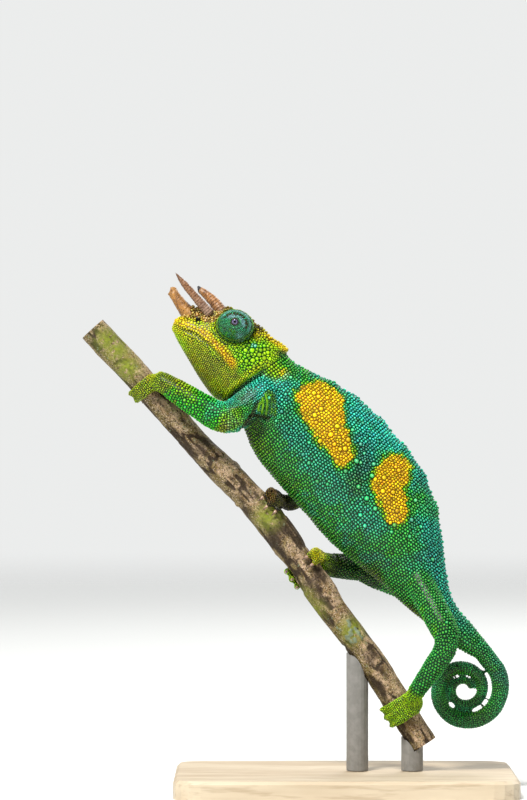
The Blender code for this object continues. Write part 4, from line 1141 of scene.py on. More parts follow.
def paint_head(points):
    """The head: yellow snout, olive throat, green cheek, brown brow, the fold's yellow line, and painted
    shade behind the fold and in the nostrils.
    """
    local = in_head(points)
    where = local[:, :2]
    cloud = lattice_noise(points, 5.0, 21) + 0.5 * lattice_noise(points, 2.0, 22)
    colours = np.tile(PALETTE["lime"], (len(points), 1))
    colours = blotches(colours, where, HEAD_SPOTS, head_pixel)
    mouth, _ = line_distance(where, MOUTH_TRACE)
    lip, _ = line_distance(where, [(u, v + LIP_ABOVE + 1.0) for u, v in MOUTH_TRACE])
    lip_colour = hump(lip, 2.6) * (1 - ease(local[:, 0], 27.0, 30.0))
    colours = layered(colours, "yellow", 0.80 * lip_colour)
    colours = layered(colours, "orange", 0.6 * lip_colour * ease(local[:, 0], 10.0, 22.0))
    casque, _ = line_distance(where, [head_pixel(pixel) for pixel in CASQUE_PIXELS])
    colours = layered(colours, "yellow", 0.85 * hump(casque + 0.5 * cloud, 2.0))
    fold, _ = line_distance(where, HEAD_FOLD)
    behind, _ = line_distance(where, [(u + 2.3, v - 1.2) for u, v in HEAD_FOLD])
    # Painted shade: dark green in the groove behind the throat's fold.
    colours = layered(colours, "dark_green", 0.8 * hump(behind, 1.8))
    colours = layered(colours, "lime", 0.9 * hump(fold, 1.5))
    colours = layered(colours, "lemon", 0.4 * hump(fold, 1.1))
    colours = layered(colours, "lime", 0.25 * ease(cloud, 0.2, 0.9))
    colours = layered(colours, "olive", 0.25 * ease(-cloud, 0.2, 0.9))
    eye = eye_distance(local)
    under_eye = 1 - ease(local[:, 1], 8.0, 13.0)
    colours = layered(colours, "lime", 0.6 * hump(np.abs(eye - 8.3), 1.2) * under_eye)
    colours = layered(colours, "dark_green", 0.85 * hump(np.abs(eye - 7.0), 0.7))
    brow, _ = line_distance(where, [head_pixel(pixel) for pixel in BROW_PIXELS])
    over = np.interp(local[:, 0], BROW_EDGE[0], BROW_EDGE[1])
    brown = np.maximum(hump(brow, 2.4), ease(local[:, 1] - over + 0.5 * cloud, -0.5, 0.6)
                       * (1 - ease(local[:, 0], 25.0, 32.0)))
    sheath, _ = line_distance(local[:, :2], SHEATH_LINE)
    collar = np.maximum(1 - ease(horn_distance(local) + 0.4 * cloud, 0.9, 2.1), 1 - ease(sheath, 1.3, 2.2))
    brown = np.maximum(brown, collar)
    colours = layered(colours, "brown", 0.92 * brown)
    colours = layered(colours, "tan", 0.8 * collar * ease(lattice_noise(points, 1.0, 25), -0.7, -0.1))
    colours = layered(colours, "dark_brown", 0.7 * brown * ease(lattice_noise(points, 1.1, 23), 0.1, 0.5))
    colours = layered(colours, "cream", 0.35 * brown * ease(lattice_noise(points, 0.9, 24), 0.3, 0.7))
    shut = hump(mouth, 0.5) * (1 - ease(local[:, 0], 26.0, 28.0)) * ease(local[:, 0], 1.0, 6.0)
    colours = layered(colours, "dark_brown", 0.6 * shut)
    groove, _ = line_distance(where, [(u, v + LIP_ABOVE * 2.2) for u, v in MOUTH_LINE[:3]])
    colours = layered(colours, "brown", 0.7 * hump(groove, 0.6) * (1 - ease(local[:, 0], 25.0, 27.5)))
    nostril = np.hypot(local[:, 0] - NOSTRIL_PLACE[0], local[:, 1] - NOSTRIL_PLACE[1])
    # Painted shade: umber in each nostril's hollow.
    return layered(colours, "umber", hump(nostril, 1.4) * ease(np.abs(local[:, 2]), 2.0, 5.0) * 1.3)


print("head markings:", len(HEAD_SPOTS), "spots")

# %% Limb markings
LIMB_SPOTS = {                  # colour, (x, z) pixel, radius in mm, strength
    "upper_arm_left": (("pale_turquoise", (262, 385), 7.0, 0.6), ("lilac_grey", (246, 398), 5.0, 0.45),
                       ("emerald", (240, 408), 5.5, 0.6), ("lime", (236, 420), 5.0, 0.6),
                       # The dark green spot at (254, 424) is painted shade under the near arm.
                       ("leaf", (248, 412), 4.5, 0.6), ("dark_green", (254, 424), 4.5, 0.95)),
    "forearm_left": (("bright_leaf", (205, 402), 12.0, 0.8), ("emerald", (196, 398), 9.0, 0.35),
                     ("lime", (184, 380), 8.0, 0.7), ("olive", (164, 376), 10.0, 0.8),
                     ("lime", (232, 423), 6.5, 0.8), ("olive", (226, 430), 5.0, 0.7),
                     ("orange", (232, 424), 3.0, 0.4), ("pale_turquoise", (222, 400), 3.4, 0.45),
                     ("turquoise", (214, 410), 4.5, 0.4)),
    "hand_left": (("lime", (150, 378), 14.0, 0.8), ("olive", (144, 388), 12.0, 0.7),
                  ("lemon", (152, 371), 4.0, 0.4)),
    # Umber on the far forearm and hand is partly painted shade and partly their own dark brown.
    "forearm_right": (("umber", (290, 495), 14.0, 1.0),),
    "hand_right": (("umber", (276, 495), 14.0, 1.0), ("brown", (268, 492), 5.0, 0.4)),
    "foot_right": (("lime", (316, 557), 6.0, 0.8), ("lime", (296, 575), 9.0, 0.8),
                   ("moss", (336, 564), 6.0, 0.85), ("lemon", (317, 555), 5.0, 0.7),
                   # The dark green spots of the far foot, shin and thigh are painted shade under the belly.
                   ("dark_green", (344, 570), 9.0, 0.8)),
    "shin_right": (("dark_green", (345, 572), 10.0, 0.8), ("moss", (336, 556), 4.5, 0.7)),
    "thigh_right": (("dark_green", (360, 580), 12.0, 0.8),),
}
LIMB_BASE = {"upper_arm": "turquoise", "forearm": "bright_leaf", "hand": "lime", "thigh": "emerald",
             "shin": "emerald", "foot": "lime"}


def paint_limb(points, node):
    """One length of a limb, in its base colour with its own spots."""
    base = next(colour for word, colour in LIMB_BASE.items() if node.startswith(word))
    colours = np.tile(PALETTE[base], (len(points), 1))
    cloud = lattice_noise(points, 4.0, 31) + 0.5 * lattice_noise(points, 1.8, 32)
    colours = layered(colours, "emerald", 0.35 * ease(cloud, 0.1, 0.9))
    colours = layered(colours, "lime", 0.25 * ease(-cloud, 0.3, 1.0))
    colours = blotches(colours, points[:, [0, 2]], LIMB_SPOTS.get(node, ()), at_pixel)
    return paint_armpit(colours, points) if node == "upper_arm_left" else colours


PAINTED = ["body", "head"] + [node for node in SKIN_NODES if node.startswith(tuple(LIMB_BASE))]
WEIGHT_ROUNDS = 22
body_mask = is_region(skin_region, "neck", "torso", "pelvis", "tail")
part_weights = np.stack([body_mask, is_region(skin_region, "head")]
                        + [is_region(skin_region, node) for node in PAINTED[2:]], axis=1).astype(float)
for _ in range(WEIGHT_ROUNDS):
    part_weights = skin_average(part_weights) * 0.6 + part_weights * 0.4


def paint(points, weights):
    """The markings at points, blended over the solids that each point belongs to."""
    colours = np.zeros((len(points), 3))
    for index, part in enumerate(PAINTED):
        near = weights[:, index] > 0.01
        if near.any():
            painter = {"body": paint_body, "head": paint_head}.get(part)
            found = painter(points[near]) if painter else paint_limb(points[near], part)
            colours[near] += found * weights[near, index][:, None]
    return colours / np.maximum(weights.sum(axis=1), 1e-6)[:, None]


skin_colours = paint(skin_points, part_weights)
set_values(skin, "markings", skin_colours)
set_values(skin, "tone", 0.5 + 0.5 * lattice_noise(skin_points, 0.9, 41))
# With a rise of zero the hide finish paints the skin in full shade; only the armpit's folds rise toward less
# shade and a painted highlight.
set_values(skin, "rise", 2.0 * fold_height(skin_points))
print("markings painted on", len(skin_points), "vertices")

# %% [markdown]
# ## Where the scales grow
# Chameleon scales stand in rings round the body and limbs, with single larger tubercles among them, and in
# a looser pattern on the head. The tubercles, knobs and lip scales get their places first, then the rings,
# and then a random fill takes every bare spot. A place is kept only if it is far enough from those before.

# %% Places of scales
RANDOM = np.random.default_rng(20)
CELL = 1.7                      # mm, side of the cells in which near places are looked up
TIGHTNESS = 0.76                # least distance of two scales against their mean size
BESIDE_BODY = 60.0              # mm from the middle plane to where a look at the skin starts
BESIDE_HEAD = 25.0


class ScalePlaces:
    """Places on the skin that keep their distance from each other."""

    def __init__(self):
        self.cells = {}
        self.points = []
        self.normals = []
        self.sizes = []
        self.heights = []

    def is_free(self, point, normal, size):
        """Whether a scale of that size would keep its distance there."""
        cell = tuple(int(math.floor(c / CELL)) for c in point)
        for step in itertools.product((-1, 0, 1), repeat=3):
            for other in self.cells.get((cell[0] + step[0], cell[1] + step[1], cell[2] + step[2]), ()):
                there = self.points[other]
                away = (point[0] - there[0]) ** 2 + (point[1] - there[1]) ** 2 + (point[2] - there[2]) ** 2
                least = TIGHTNESS * 0.5 * (size + self.sizes[other])
                facing = sum(a * b for a, b in zip(normal, self.normals[other]))
                if away < least * least and facing > 0.1:
                    return False
        return True

    def add(self, point, normal, size, height):
        """Keep a place if it is free."""
        point, normal = tuple(point), tuple(normal)
        if self.is_free(point, normal, size):
            cell = tuple(int(math.floor(c / CELL)) for c in point)
            self.cells.setdefault(cell, []).append(len(self.points))
            self.points.append(point)
            self.normals.append(normal)
            self.sizes.append(size)
            self.heights.append(height)


def on_skin(point):
    """The nearest place on the skin, with the smooth normal there."""
    hit = skin_tree.find_nearest(Vector(point) * MM)[0]
    found = np.array(hit) / MM
    return found, skin_normals[skin_index.find(found)[1]]


def seen_on_skin(x, z, from_side):
    """The place on the skin that is first met from one side at x and z, or None."""
    start = np.array((x, from_side * BESIDE_BODY, z))
    hit = skin_tree.ray_cast(Vector(start) * MM, Vector((0, -from_side, 0)))[0]
    return None if hit is None else np.array(hit) / MM


def seen_on_head(u, v, side):
    """The place on the head that is first met from one side at u and v of its frame, or None."""
    start = head_point(u, v, BESIDE_HEAD * side)
    hit = skin_tree.ray_cast(Vector(start) * MM, Vector(-FAR * side))[0]
    return None if hit is None else np.array(hit) / MM


places = ScalePlaces()
print("ready to place scales")

# %% Tubercles
BODY_TUBERCLES = (              # pixel in the photograph and size in mm
    ((320.8, 408.9), 1.6), ((314.4, 415.3), 1.6), ((330.3, 434.4), 1.8), ((344.4, 448.4), 1.7),
    ((336.7, 426.1), 1.6), ((347.6, 439.5), 1.7), ((319.5, 440.8), 1.6), ((336.1, 461.2), 1.6),
    ((345.0, 470.8), 1.6), ((355.8, 460.6), 1.8), ((373.0, 463.8), 1.6), ((371.2, 475.2), 1.6),
    ((382.0, 490.5), 1.7), ((392.2, 491.8), 1.6), ((366.0, 497.6), 1.8), ((374.3, 507.8), 1.6),
    ((357.8, 486.0), 1.6), ((359.7, 514.1), 1.5), ((393.5, 524.3), 1.5), ((302.9, 454.2), 1.4),
    ((308.6, 462.5), 1.4), ((316.9, 481.0), 1.4), ((313.7, 393.0), 1.5), ((318.2, 396.8), 1.5),
    ((342.4, 400.6), 1.4), ((364.1, 525.0), 1.5), ((341.8, 510.3), 1.4), ((410.7, 519.2), 1.6),
    ((383.3, 477.1), 1.6), ((388.0, 502.0), 1.4), ((327.0, 398.0), 1.4), ((306.0, 428.0), 1.5),
    ((398.0, 470.0), 1.5), ((352.0, 430.0), 1.4), ((334.0, 444.0), 1.5), ((396.0, 510.0), 1.4),
)
CHEEK_SCALES = (
    ((240.8, 355.6), 1.5), ((252.1, 350.8), 2.0), ((245.6, 350.8), 1.6), ((259.2, 355.1), 1.7),
    ((264.0, 358.3), 1.8), ((252.7, 360.5), 1.7), ((246.7, 361.6), 1.5), ((255.0, 346.0), 1.4),
    ((249.0, 345.6), 1.4), ((243.5, 346.6), 1.3), ((236.8, 350.8), 1.3), ((235.9, 356.7), 1.4),
    ((248.3, 355.6), 1.4), ((260.3, 350.2), 1.4), ((267.3, 352.4), 1.4), ((269.5, 358.9), 1.4),
    ((260.8, 363.2), 1.4), ((257.0, 358.6), 1.3), ((268.0, 364.5), 1.3), ((241.5, 361.5), 1.3),
    ((271.0, 347.0), 1.5), ((264.0, 345.5), 1.3), ((275.0, 353.0), 1.3), ((254.0, 366.0), 1.3),
)
SHEATH_ROWS = ((1.0, 96.0), (2.0, 84.0), (3.0, 68.0), (4.0, 50.0))   # mm along the horn, degrees each way
SHEATH_STEP = 21.0              # degrees from one scale of the sheath to the next
COLLAR_ROWS = ((0.45, 1.05), (1.35, 0.95))      # mm out from a horn's foot, and size of the knobs there
TUBERCLE_WIDTH = 1.35           # width and height of a tubercle for each millimetre of its size
TUBERCLE_RISE = 0.38
CHEEK_WIDTH = 1.15
CHEEK_RISE = 0.30
RIDGE_ROWS = slice(6, 96, 4)    # rows of the trunk along which the back's larger scales stand
RIDGE_PITCH = 2.1               # from one of the back's larger scales to the next
LIP_ROWS = ((LIP_ABOVE, 1.1), (LIP_ABOVE + 1.15, 1.35), (LIP_ABOVE + 2.4, 1.25), (LIP_BELOW, 0.95))
MORE_TUBERCLES = 300            # random tries on the flanks and the left arm
FLANK_ROWS = (12, 92)           # rows of the trunk between which they fall
TUBERCLES_APART = 2.3           # least distance between two of them in mm
ON_ARM = 0.25                   # share of the tries that fall on the arm
ARM_PIXELS = ((188, 392), (222, 408))
for (pixel, size), side in itertools.product(BODY_TUBERCLES, (-1, 1)):
    x, z = at_pixel(pixel)
    seen = seen_on_skin(x, z, side)
    if seen is not None:
        point, normal = on_skin(seen)
        places.add(point, normal, size * TUBERCLE_WIDTH, size * TUBERCLE_RISE)
for (pixel, size), side in itertools.product(CHEEK_SCALES, (-1, 1)):
    u, v = head_pixel(pixel)
    point, normal = on_skin(seen_on_head(u, v, side))
    places.add(point, normal, size * CHEEK_WIDTH, size * CHEEK_RISE)
print("tubercles where the photograph shows them:", len(places.points))

# %% Crest and scattered tubercles
CREST_PITCH = 1.35
for u, v, w in resampled(smooth_chain(CREST_LINE, 4), CREST_PITCH):
    for side in (-1, 1):
        size = RANDOM.uniform(1.1, 1.5)
        shift = RANDOM.normal(0, 0.15, 2)
        point, normal = on_skin(head_point(u + shift[0], v + 0.6, w * side + shift[1]))
        places.add(point, normal, size, size * RANDOM.uniform(0.45, 0.75))
arm_line = [at_pixel(pixel) for pixel in ARM_PIXELS]
scattered = []
for _ in range(MORE_TUBERCLES):
    if RANDOM.random() < ON_ARM:
        x, z = arm_line[0] + (arm_line[1] - arm_line[0]) * RANDOM.random() + RANDOM.normal(0, 2.2, 2)
        side, size = -1, RANDOM.uniform(1.15, 1.5)
    else:
        row = TRUNK[int(RANDOM.uniform(*FLANK_ROWS))]
        share = RANDOM.uniform(0.3, 0.96)
        x, z = row[0:2] * (1 - share) + row[2:4] * share - (0.0, STAND_RISE)
        near_patch = max(-np.min(line_distance(np.array([(x, z)]), outline)[0]) for outline in PATCHES)
        side, size = RANDOM.choice((-1, 1)), RANDOM.uniform(1.3, 1.9)
        if RANDOM.random() > 0.15 + 0.85 * (1 - ease(-near_patch, 3.0, 12.0)):
            continue
    seen = seen_on_skin(x, z, side)
    if seen is not None and all(np.linalg.norm(seen - other) > TUBERCLES_APART for other in scattered):
        scattered.append(seen)
        point, normal = on_skin(seen)
        places.add(point, normal, size, size * TUBERCLE_RISE)
print("with crest and scattered tubercles:", len(places.points))

# %% Knobs at the horns
for foot, tip, radii, *_ in HORNS.values():
    axis = unit(np.array(tip) - foot)
    one = unit(np.cross(axis, (0.0, 0.0, 1.0)))
    for ring, size in COLLAR_ROWS:
        around = int(2 * math.pi * (radii[0] + ring) / (size * 0.9))
        for turn in np.linspace(0, 2 * math.pi, around, endpoint=False) + ring:
            spoke = one * math.cos(turn) + np.cross(axis, one) * math.sin(turn)
            point, normal = on_skin(head_point(*(np.array(foot) + spoke * (radii[0] + ring))))
            places.add(point, normal, size * RANDOM.uniform(0.85, 1.15), size * RANDOM.uniform(0.5, 0.8))
foot, tip, radii = (np.array(value) for value in HORNS["horn_rostral"][:3])
length = np.linalg.norm(tip - foot)
axis = (tip - foot) / length
back_way = unit(np.array((0.0, 1.0, 0.0)) - axis * axis[1])
for along, half_turn in SHEATH_ROWS:
    wide = np.interp(along / length, HORN_SHARES[:2], (radii[0], radii[1] * HORN_SWELL[0]))
    for turn in np.radians(np.arange(-half_turn, half_turn, SHEATH_STEP) + RANDOM.uniform(0, 8)):
        spoke = back_way * math.cos(turn) + np.cross(axis, back_way) * math.sin(turn)
        size = RANDOM.uniform(0.95, 1.25)
        normal = BACK * spoke[0] + UP * spoke[1] + FAR * spoke[2]
        places.add(head_point(*(foot + axis * along + spoke * (wide - 0.15))), normal, size, size * 0.55)
print("with the horns' knobs:", len(places.points))

# %% Back and lips
for x, z in resampled(TRUNK[RIDGE_ROWS, 2:4] - (0.0, STAND_RISE), RIDGE_PITCH, 2):
    size = RANDOM.uniform(1.15, 1.75)
    point, normal = on_skin((x + RANDOM.normal(0, 0.25), RANDOM.normal(0, 0.4), z + 0.5))
    places.add(point, normal, size, size * RANDOM.uniform(0.40, 0.56))
for rise, size in LIP_ROWS:
    for u, v in resampled([(u, v + rise) for u, v in MOUTH_TRACE[1:]], size * 0.86, 2):
        for side in (-1, 1):
            seen = seen_on_head(u, v, side)
            if seen is not None:
                point, normal = on_skin(seen + RANDOM.normal(0, 0.12, 3))
                wide = size * RANDOM.uniform(0.82, 1.12)
                places.add(point, normal, wide, wide * RANDOM.uniform(0.26, 0.40))
print("with the back's row and the lips:", len(places.points))

# %% Rows of scales
ROW_PITCH = 1.12                # mm from one row to the next, and from bead to bead in a row
BEAD_PITCH = 1.10
BEAD_RISE = 0.40                # height of a bead for each millimetre of its size
FINE = 0.74                     # pitch of the finer rows against the rest
TOE_BEAD = 0.68
THROAT_BEAD = 0.72
JITTER = 0.09                   # how far a bead strays, against its size
COARSE_FROM = 0.88              # fineness from which the usual rows are laid
FINE_BEFORE_X = -10.0           # finer rows on the trunk lie before this x
THROAT_BELOW_V = -2.2           # the throat's rows lie below this v, round an axis at the next one
THROAT_AXIS_V = -3.6
THROAT_U = (1.5, 34.0)          # where the throat's rows begin and end
THROAT_REACH = 26.0
LOOK_PAST = 1.25                # how far rays look for the skin, against a limb's radius and in mm more
LOOK_MORE = 0.4
RAYS = 72                       # rays round each row's axis that look for the skin
FINE_PLACES = (                 # where beads are finer: middle, reach in mm and size against the rest
    (place(-31.0, 146.0, -11.0), 11.0, 0.76), (place(-39.0, 148.0, -15.0), 8.5, 0.72),
    (place(-66.2, 156.8, -9.0), 8.0, 0.74), (place(-24.0, 121.0, -8.0), 9.0, 0.86),
)


def bead_scale(point):
    """How fine the beads are at a point, against the size elsewhere."""
    scale = 1.0
    for middle, reach, least in FINE_PLACES:
        away = math.dist(point, middle)
        if away < reach:
            scale = min(scale, least + (1 - least) * (away / reach) ** 2)
    return scale


def add_row(centre, up, side, limits, number, pitch, belongs=None):
    """Beads round one ring of the body where rays from its axis meet the skin, at places that belong."""
    angles = np.linspace(0, 2 * math.pi, RAYS + 1)
    ring = np.full((RAYS + 1, 3), np.nan)
    for index, angle in enumerate(angles[:-1]):
        direction = up * math.cos(angle) + side * math.sin(angle)
        limit = limits[0] * abs(math.cos(angle)) + limits[1] * abs(math.sin(angle))
        hit = skin_tree.ray_cast(Vector(centre) * MM, Vector(direction), limit * MM)[0]
        if hit is not None:
            ring[index] = np.array(hit) / MM
    ring[-1] = ring[0]
    steps = np.linalg.norm(np.diff(ring, axis=0), axis=1)
    travel = np.concatenate(([0.0], np.cumsum(np.nan_to_num(steps))))
    for at in np.arange((number % 2) * pitch / 2, travel[-1] - pitch * 0.4, pitch):
        index = min(int(np.searchsorted(travel, at, side="right")) - 1, RAYS - 1)
        if math.isnan(steps[index]) or steps[index] > 3 * pitch:
            continue
        share = (at - travel[index]) / max(steps[index], 1e-6)
        target = ring[index] * (1 - share) + ring[index + 1] * share
        if belongs and not belongs(target):
            continue
        point, normal = on_skin(target + RANDOM.normal(0, JITTER * pitch, 3))
        size = pitch * RANDOM.uniform(0.86, 1.12)
        places.add(point, normal, size, size * BEAD_RISE)


def is_coarse(point):
    """Where beads of the usual size stand."""
    return bead_scale(point) > COARSE_FROM


def is_fine(point):
    """Where finer beads stand."""
    return not is_coarse(point)


def is_throat(point):
    """The head's skin below the lips."""
    return in_head(point)[1] < THROAT_BELOW_V


print("rows of beads,", BEAD_PITCH, "mm apart and finer in", len(FINE_PLACES), "places")

# %% Laying the rows
trunk_rows = np.concatenate((trunk_middle, TRUNK), axis=1)
for belongs, finer in ((is_coarse, 1.0), (is_fine, FINE)):
    for number, row in enumerate(resampled(trunk_rows, ROW_PITCH * finer, 2)):
        (x, z), low, top, half, lean = row[:2], row[2:4], row[4:6], row[6], row[7]
        if belongs is is_fine and x > FINE_BEFORE_X:
            continue
        rise = unit(np.array((top[0] - low[0], 0.0, top[1] - low[1])))
        reach = np.linalg.norm(top - low) / 2
        pitch = float(np.clip(reach * 0.26, 0.62, BEAD_PITCH)) * finer
        limits = (reach * LOOK_PAST + LOOK_MORE, half * 1.3 + LOOK_MORE)
        add_row(np.array((x, lean, z)), rise, ACROSS, limits, number, pitch, belongs)
for number, u in enumerate(np.arange(*THROAT_U, THROAT_BEAD)):
    axis_point = head_point(u, THROAT_AXIS_V)
    add_row(axis_point, UP, FAR, (THROAT_REACH, THROAT_REACH), number, THROAT_BEAD, is_throat)
print("with trunk, tail and throat rows:", len(places.points))
for key, (belongs, finer) in itertools.product(LIMBS, ((is_coarse, 1.0), (is_fine, FINE))):
    centres, radii = limb_path(key)
    rows = resampled(np.column_stack((centres, radii)), ROW_PITCH * finer)
    along = directions_along(rows[:, :3])
    for number in range(2, len(rows)):
        up = unit(np.cross(along[number], ACROSS))
        limit = rows[number, 3] * LOOK_PAST + LOOK_MORE
        across = np.cross(along[number], up)
        add_row(rows[number, :3], up, across, (limit, limit), number, BEAD_PITCH * finer, belongs)
for key in LIMBS:
    _, _, along_branch, _, toes = grip_paths(key)
    for points, toe_radii, _ in toes:
        rows = resampled(np.column_stack((points, toe_radii)), TOE_BEAD)
        along = directions_along(rows[:, :3])
        for number in range(2, len(rows) - 1):
            up = unit(np.cross(along[number], along_branch))
            limit = rows[number, 3] * 1.3 + 0.3
            add_row(rows[number, :3], up, np.cross(along[number], up), (limit, limit), number, TOE_BEAD)
print("with limb and toe rows:", len(places.points))


# %% Filling what is bare
BODY_SIZE = 1.06                # mm, sizes of the scales that fill bare places
TAIL_SIZE = 0.74
HAND_SIZE = 0.66
HEAD_SIZE = 0.74
THROAT_SIZE = 0.70
HEAD_SIZE_MOST = 1.25
BARE_SHARE = 0.62               # a place is bare when nothing stands within this share of its size
TRY_AREA = 0.06                 # mm2 of bare skin for each random try


def spacing_at(points, regions):
    """The size of scale that belongs at each point."""
    local = in_head(points)
    size = BODY_SIZE * np.array([bead_scale(point) for point in points])
    size = np.where(is_region(regions, "hand", "foot"), HAND_SIZE, size)
    size = np.where(is_region(regions, "tail"), TAIL_SIZE, size)
    head = is_region(regions, "head")
    cheek = hump(np.linalg.norm(local[:, :2] - head_pixel((254, 354)), axis=1), 10.0)
    snout = hump(np.linalg.norm(local[:, :2] - head_pixel((196, 327)), axis=1), 8.0)
    temple = hump(np.linalg.norm(local[:, :2] - head_pixel((266, 343)), axis=1), 7.0)
    on_head = HEAD_SIZE + 0.46 * cheek + 0.38 * snout + 0.25 * temple
    on_head = np.where(local[:, 1] < -3.4, THROAT_SIZE, on_head)
    return np.where(head, np.minimum(on_head, HEAD_SIZE_MOST), size)


def fill_bare():
    """Random places on the skin, kept where no scale stands yet."""
    data = skin.data
    data.calc_loop_triangles()
    corners = np.empty(len(data.loop_triangles) * 3, np.int32)
    data.loop_triangles.foreach_get("vertices", corners)
    corners = corners.reshape(-1, 3)
    a, b, c = (skin_points[corners[:, index]] for index in range(3))
    area = np.linalg.norm(np.cross(b - a, c - a), axis=1) / 2
    placed = point_tree(places.points)
    middle = (a + b + c) / 3
    region = skin_region[corners[:, 0]]
    size = spacing_at(middle, region)
    bare = np.array([placed.find(point)[2] for point in middle]) > size * BARE_SHARE
    chosen = np.flatnonzero(bare)
    tries = int(area[chosen].sum() / TRY_AREA)
    picked = RANDOM.choice(chosen, tries, p=area[chosen] / area[chosen].sum())
    share = RANDOM.random((tries, 2))
    share = np.where(share.sum(axis=1, keepdims=True) > 1, 1 - share, share)
    at = a[picked] + (b - a)[picked] * share[:, :1] + (c - a)[picked] * share[:, 1:]
    local = in_head(at)
    knobs = is_region(region[picked], "head") & (local[:, 1] > 8.5) & (local[:, 0] < 20.0)
    for point, corner, wide, knob in zip(at, corners[picked, 0], size[picked], knobs):
        wide = float(wide * RANDOM.uniform(0.85, 1.15))
        height = wide * (RANDOM.uniform(0.4, 0.75) if knob else BEAD_RISE)
        places.add(point, skin_normals[corner], wide, height)


fill_bare()
print("scales in all:", len(places.points))

# %% [markdown]
# ## The shape of a scale
# Every scale fills its own cell: the region nearer to it than to its neighbours. In each of a few
# directions the half way point to the neighbours gives the scale's reach, and a low dome with a closed
# underside is built on that outline. So the scales fit together with thin dark lines between them, round
# where they stand apart and angular where they crowd.

# %% Scale cells
FILL = 0.90                     # share of its cell that a scale fills
SINK = 0.16                     # mm that a scale's rim lies under the skin
NEIGHBOURS = 11
FAR_OFF = 9.0                   # mm, where no neighbour stands in a direction


def tangent_frames(normals):
    """Two directions across each normal."""
    helper = np.where(np.abs(normals[:, 1:2]) < 0.8, ACROSS, np.array((1.0, 0.0, 0.0)))
    first = unit(np.cross(normals, helper))
    return first, np.cross(normals, first)


def cell_reaches(points, normals, sizes, sides):
    """How far each scale reaches in each direction round it, from its neighbours' distances."""
    index = point_tree(points)
    near = np.zeros((len(points), NEIGHBOURS), dtype=int)
    for number, point in enumerate(points):
        found = [entry[1] for entry in index.find_n(point, NEIGHBOURS + 1)][1:]
        near[number, :len(found)] = found
        near[number, len(found):] = found[-1]
    first, second = tangent_frames(normals)
    offset = points[near] - points[:, None]
    flat = np.stack([np.einsum("nkc,nc->nk", offset, across) for across in (first, second)], axis=-1)
    facing = np.einsum("nkc,nc->nk", normals[near], normals) > 0.2
    distance = np.einsum("nkc,nkc->nk", flat, flat)
    weight = (sizes[:, None] / 2) ** 2 - (sizes[near] / 2) ** 2
    angles = np.linspace(0, 2 * math.pi, sides, endpoint=False)
    around = np.stack((np.cos(angles), np.sin(angles)), axis=1)
    toward = np.einsum("nkc,mc->nkm", flat, around)
    half_way = (distance + weight)[:, :, None] / (2 * toward + 1e-9)
    reach = np.where((toward > 1e-3) & facing[:, :, None], half_way, FAR_OFF)
    reach = np.clip(reach.min(axis=1), 0.12 * sizes[:, None], 0.68 * sizes[:, None])
    return reach * FILL, first, second


print("a scale fills", FILL, "of its cell")

# %% Unwrap of the skin
UNWRAP_FACES = 7000
PATCH = 0.003                   # width of a scale's place on the unwrap


def unwrapped_copy(source):
    """A light copy of the skin with a map of its own shape, as a tree, its triangles and their corners."""
    copy = bpy.data.objects.new("skin_unwrap", source.data.copy())
    bpy.context.collection.objects.link(copy)
    lighter = copy.modifiers.new("lighter", "DECIMATE")
    lighter.ratio = UNWRAP_FACES / (2 * len(source.data.polygons))
    copy.data = bpy.data.meshes.new_from_object(copy.evaluated_get(bpy.context.evaluated_depsgraph_get()))
    copy.modifiers.clear()
    bpy.context.view_layer.objects.active = copy
    copy.select_set(True)
    bpy.ops.object.mode_set(mode="EDIT")
    bpy.ops.mesh.select_all(action="SELECT")
    bpy.ops.mesh.quads_convert_to_tris()
    bpy.ops.uv.smart_project(angle_limit=math.radians(66), island_margin=0.004)
    bpy.ops.object.mode_set(mode="OBJECT")
    corners = np.empty(len(copy.data.loops), np.int32)
    copy.data.loops.foreach_get("vertex_index", corners)
    flat_map = np.empty(len(copy.data.loops) * 2, np.float32)
    copy.data.uv_layers.active.data.foreach_get("uv", flat_map)
    tree = BVHTree.FromObject(copy, bpy.context.evaluated_depsgraph_get())
    found = tree, points_of(copy), corners.reshape(-1, 3), flat_map.reshape(-1, 3, 2).astype(float)
    bpy.data.objects.remove(copy)
    return found


UNWRAP = unwrapped_copy(skin)


def map_places(points):
    """Each point's place on the skin's unwrap."""
    tree, vertices, corners, flat_map = UNWRAP
    face = np.array([tree.find_nearest(Vector(point) * MM)[2] for point in points])
    a, b, c = (vertices[corners[face, index]] for index in range(3))
    one, two, to_point = b - a, c - a, points - a
    dot = [np.einsum("ij,ij->i", left, right) for left, right in
           ((one, one), (one, two), (two, two), (to_point, one), (to_point, two))]
    scale = dot[0] * dot[2] - dot[1] ** 2 + 1e-12
    share_b = np.clip((dot[2] * dot[3] - dot[1] * dot[4]) / scale, 0, 1)[:, None]
    share_c = np.clip((dot[0] * dot[4] - dot[1] * dot[3]) / scale, 0, 1)[:, None]
    corner_map = flat_map[face]
    share_a = 1 - share_b - share_c
    return corner_map[:, 0] * share_a + corner_map[:, 1] * share_b + corner_map[:, 2] * share_c


print("unwrap has", len(UNWRAP[2]), "triangles")

# %% Building scales
FINE_SIDES = 7
BARE_FOLD = 0.22                # mm, height of a fold above which it carries no scales


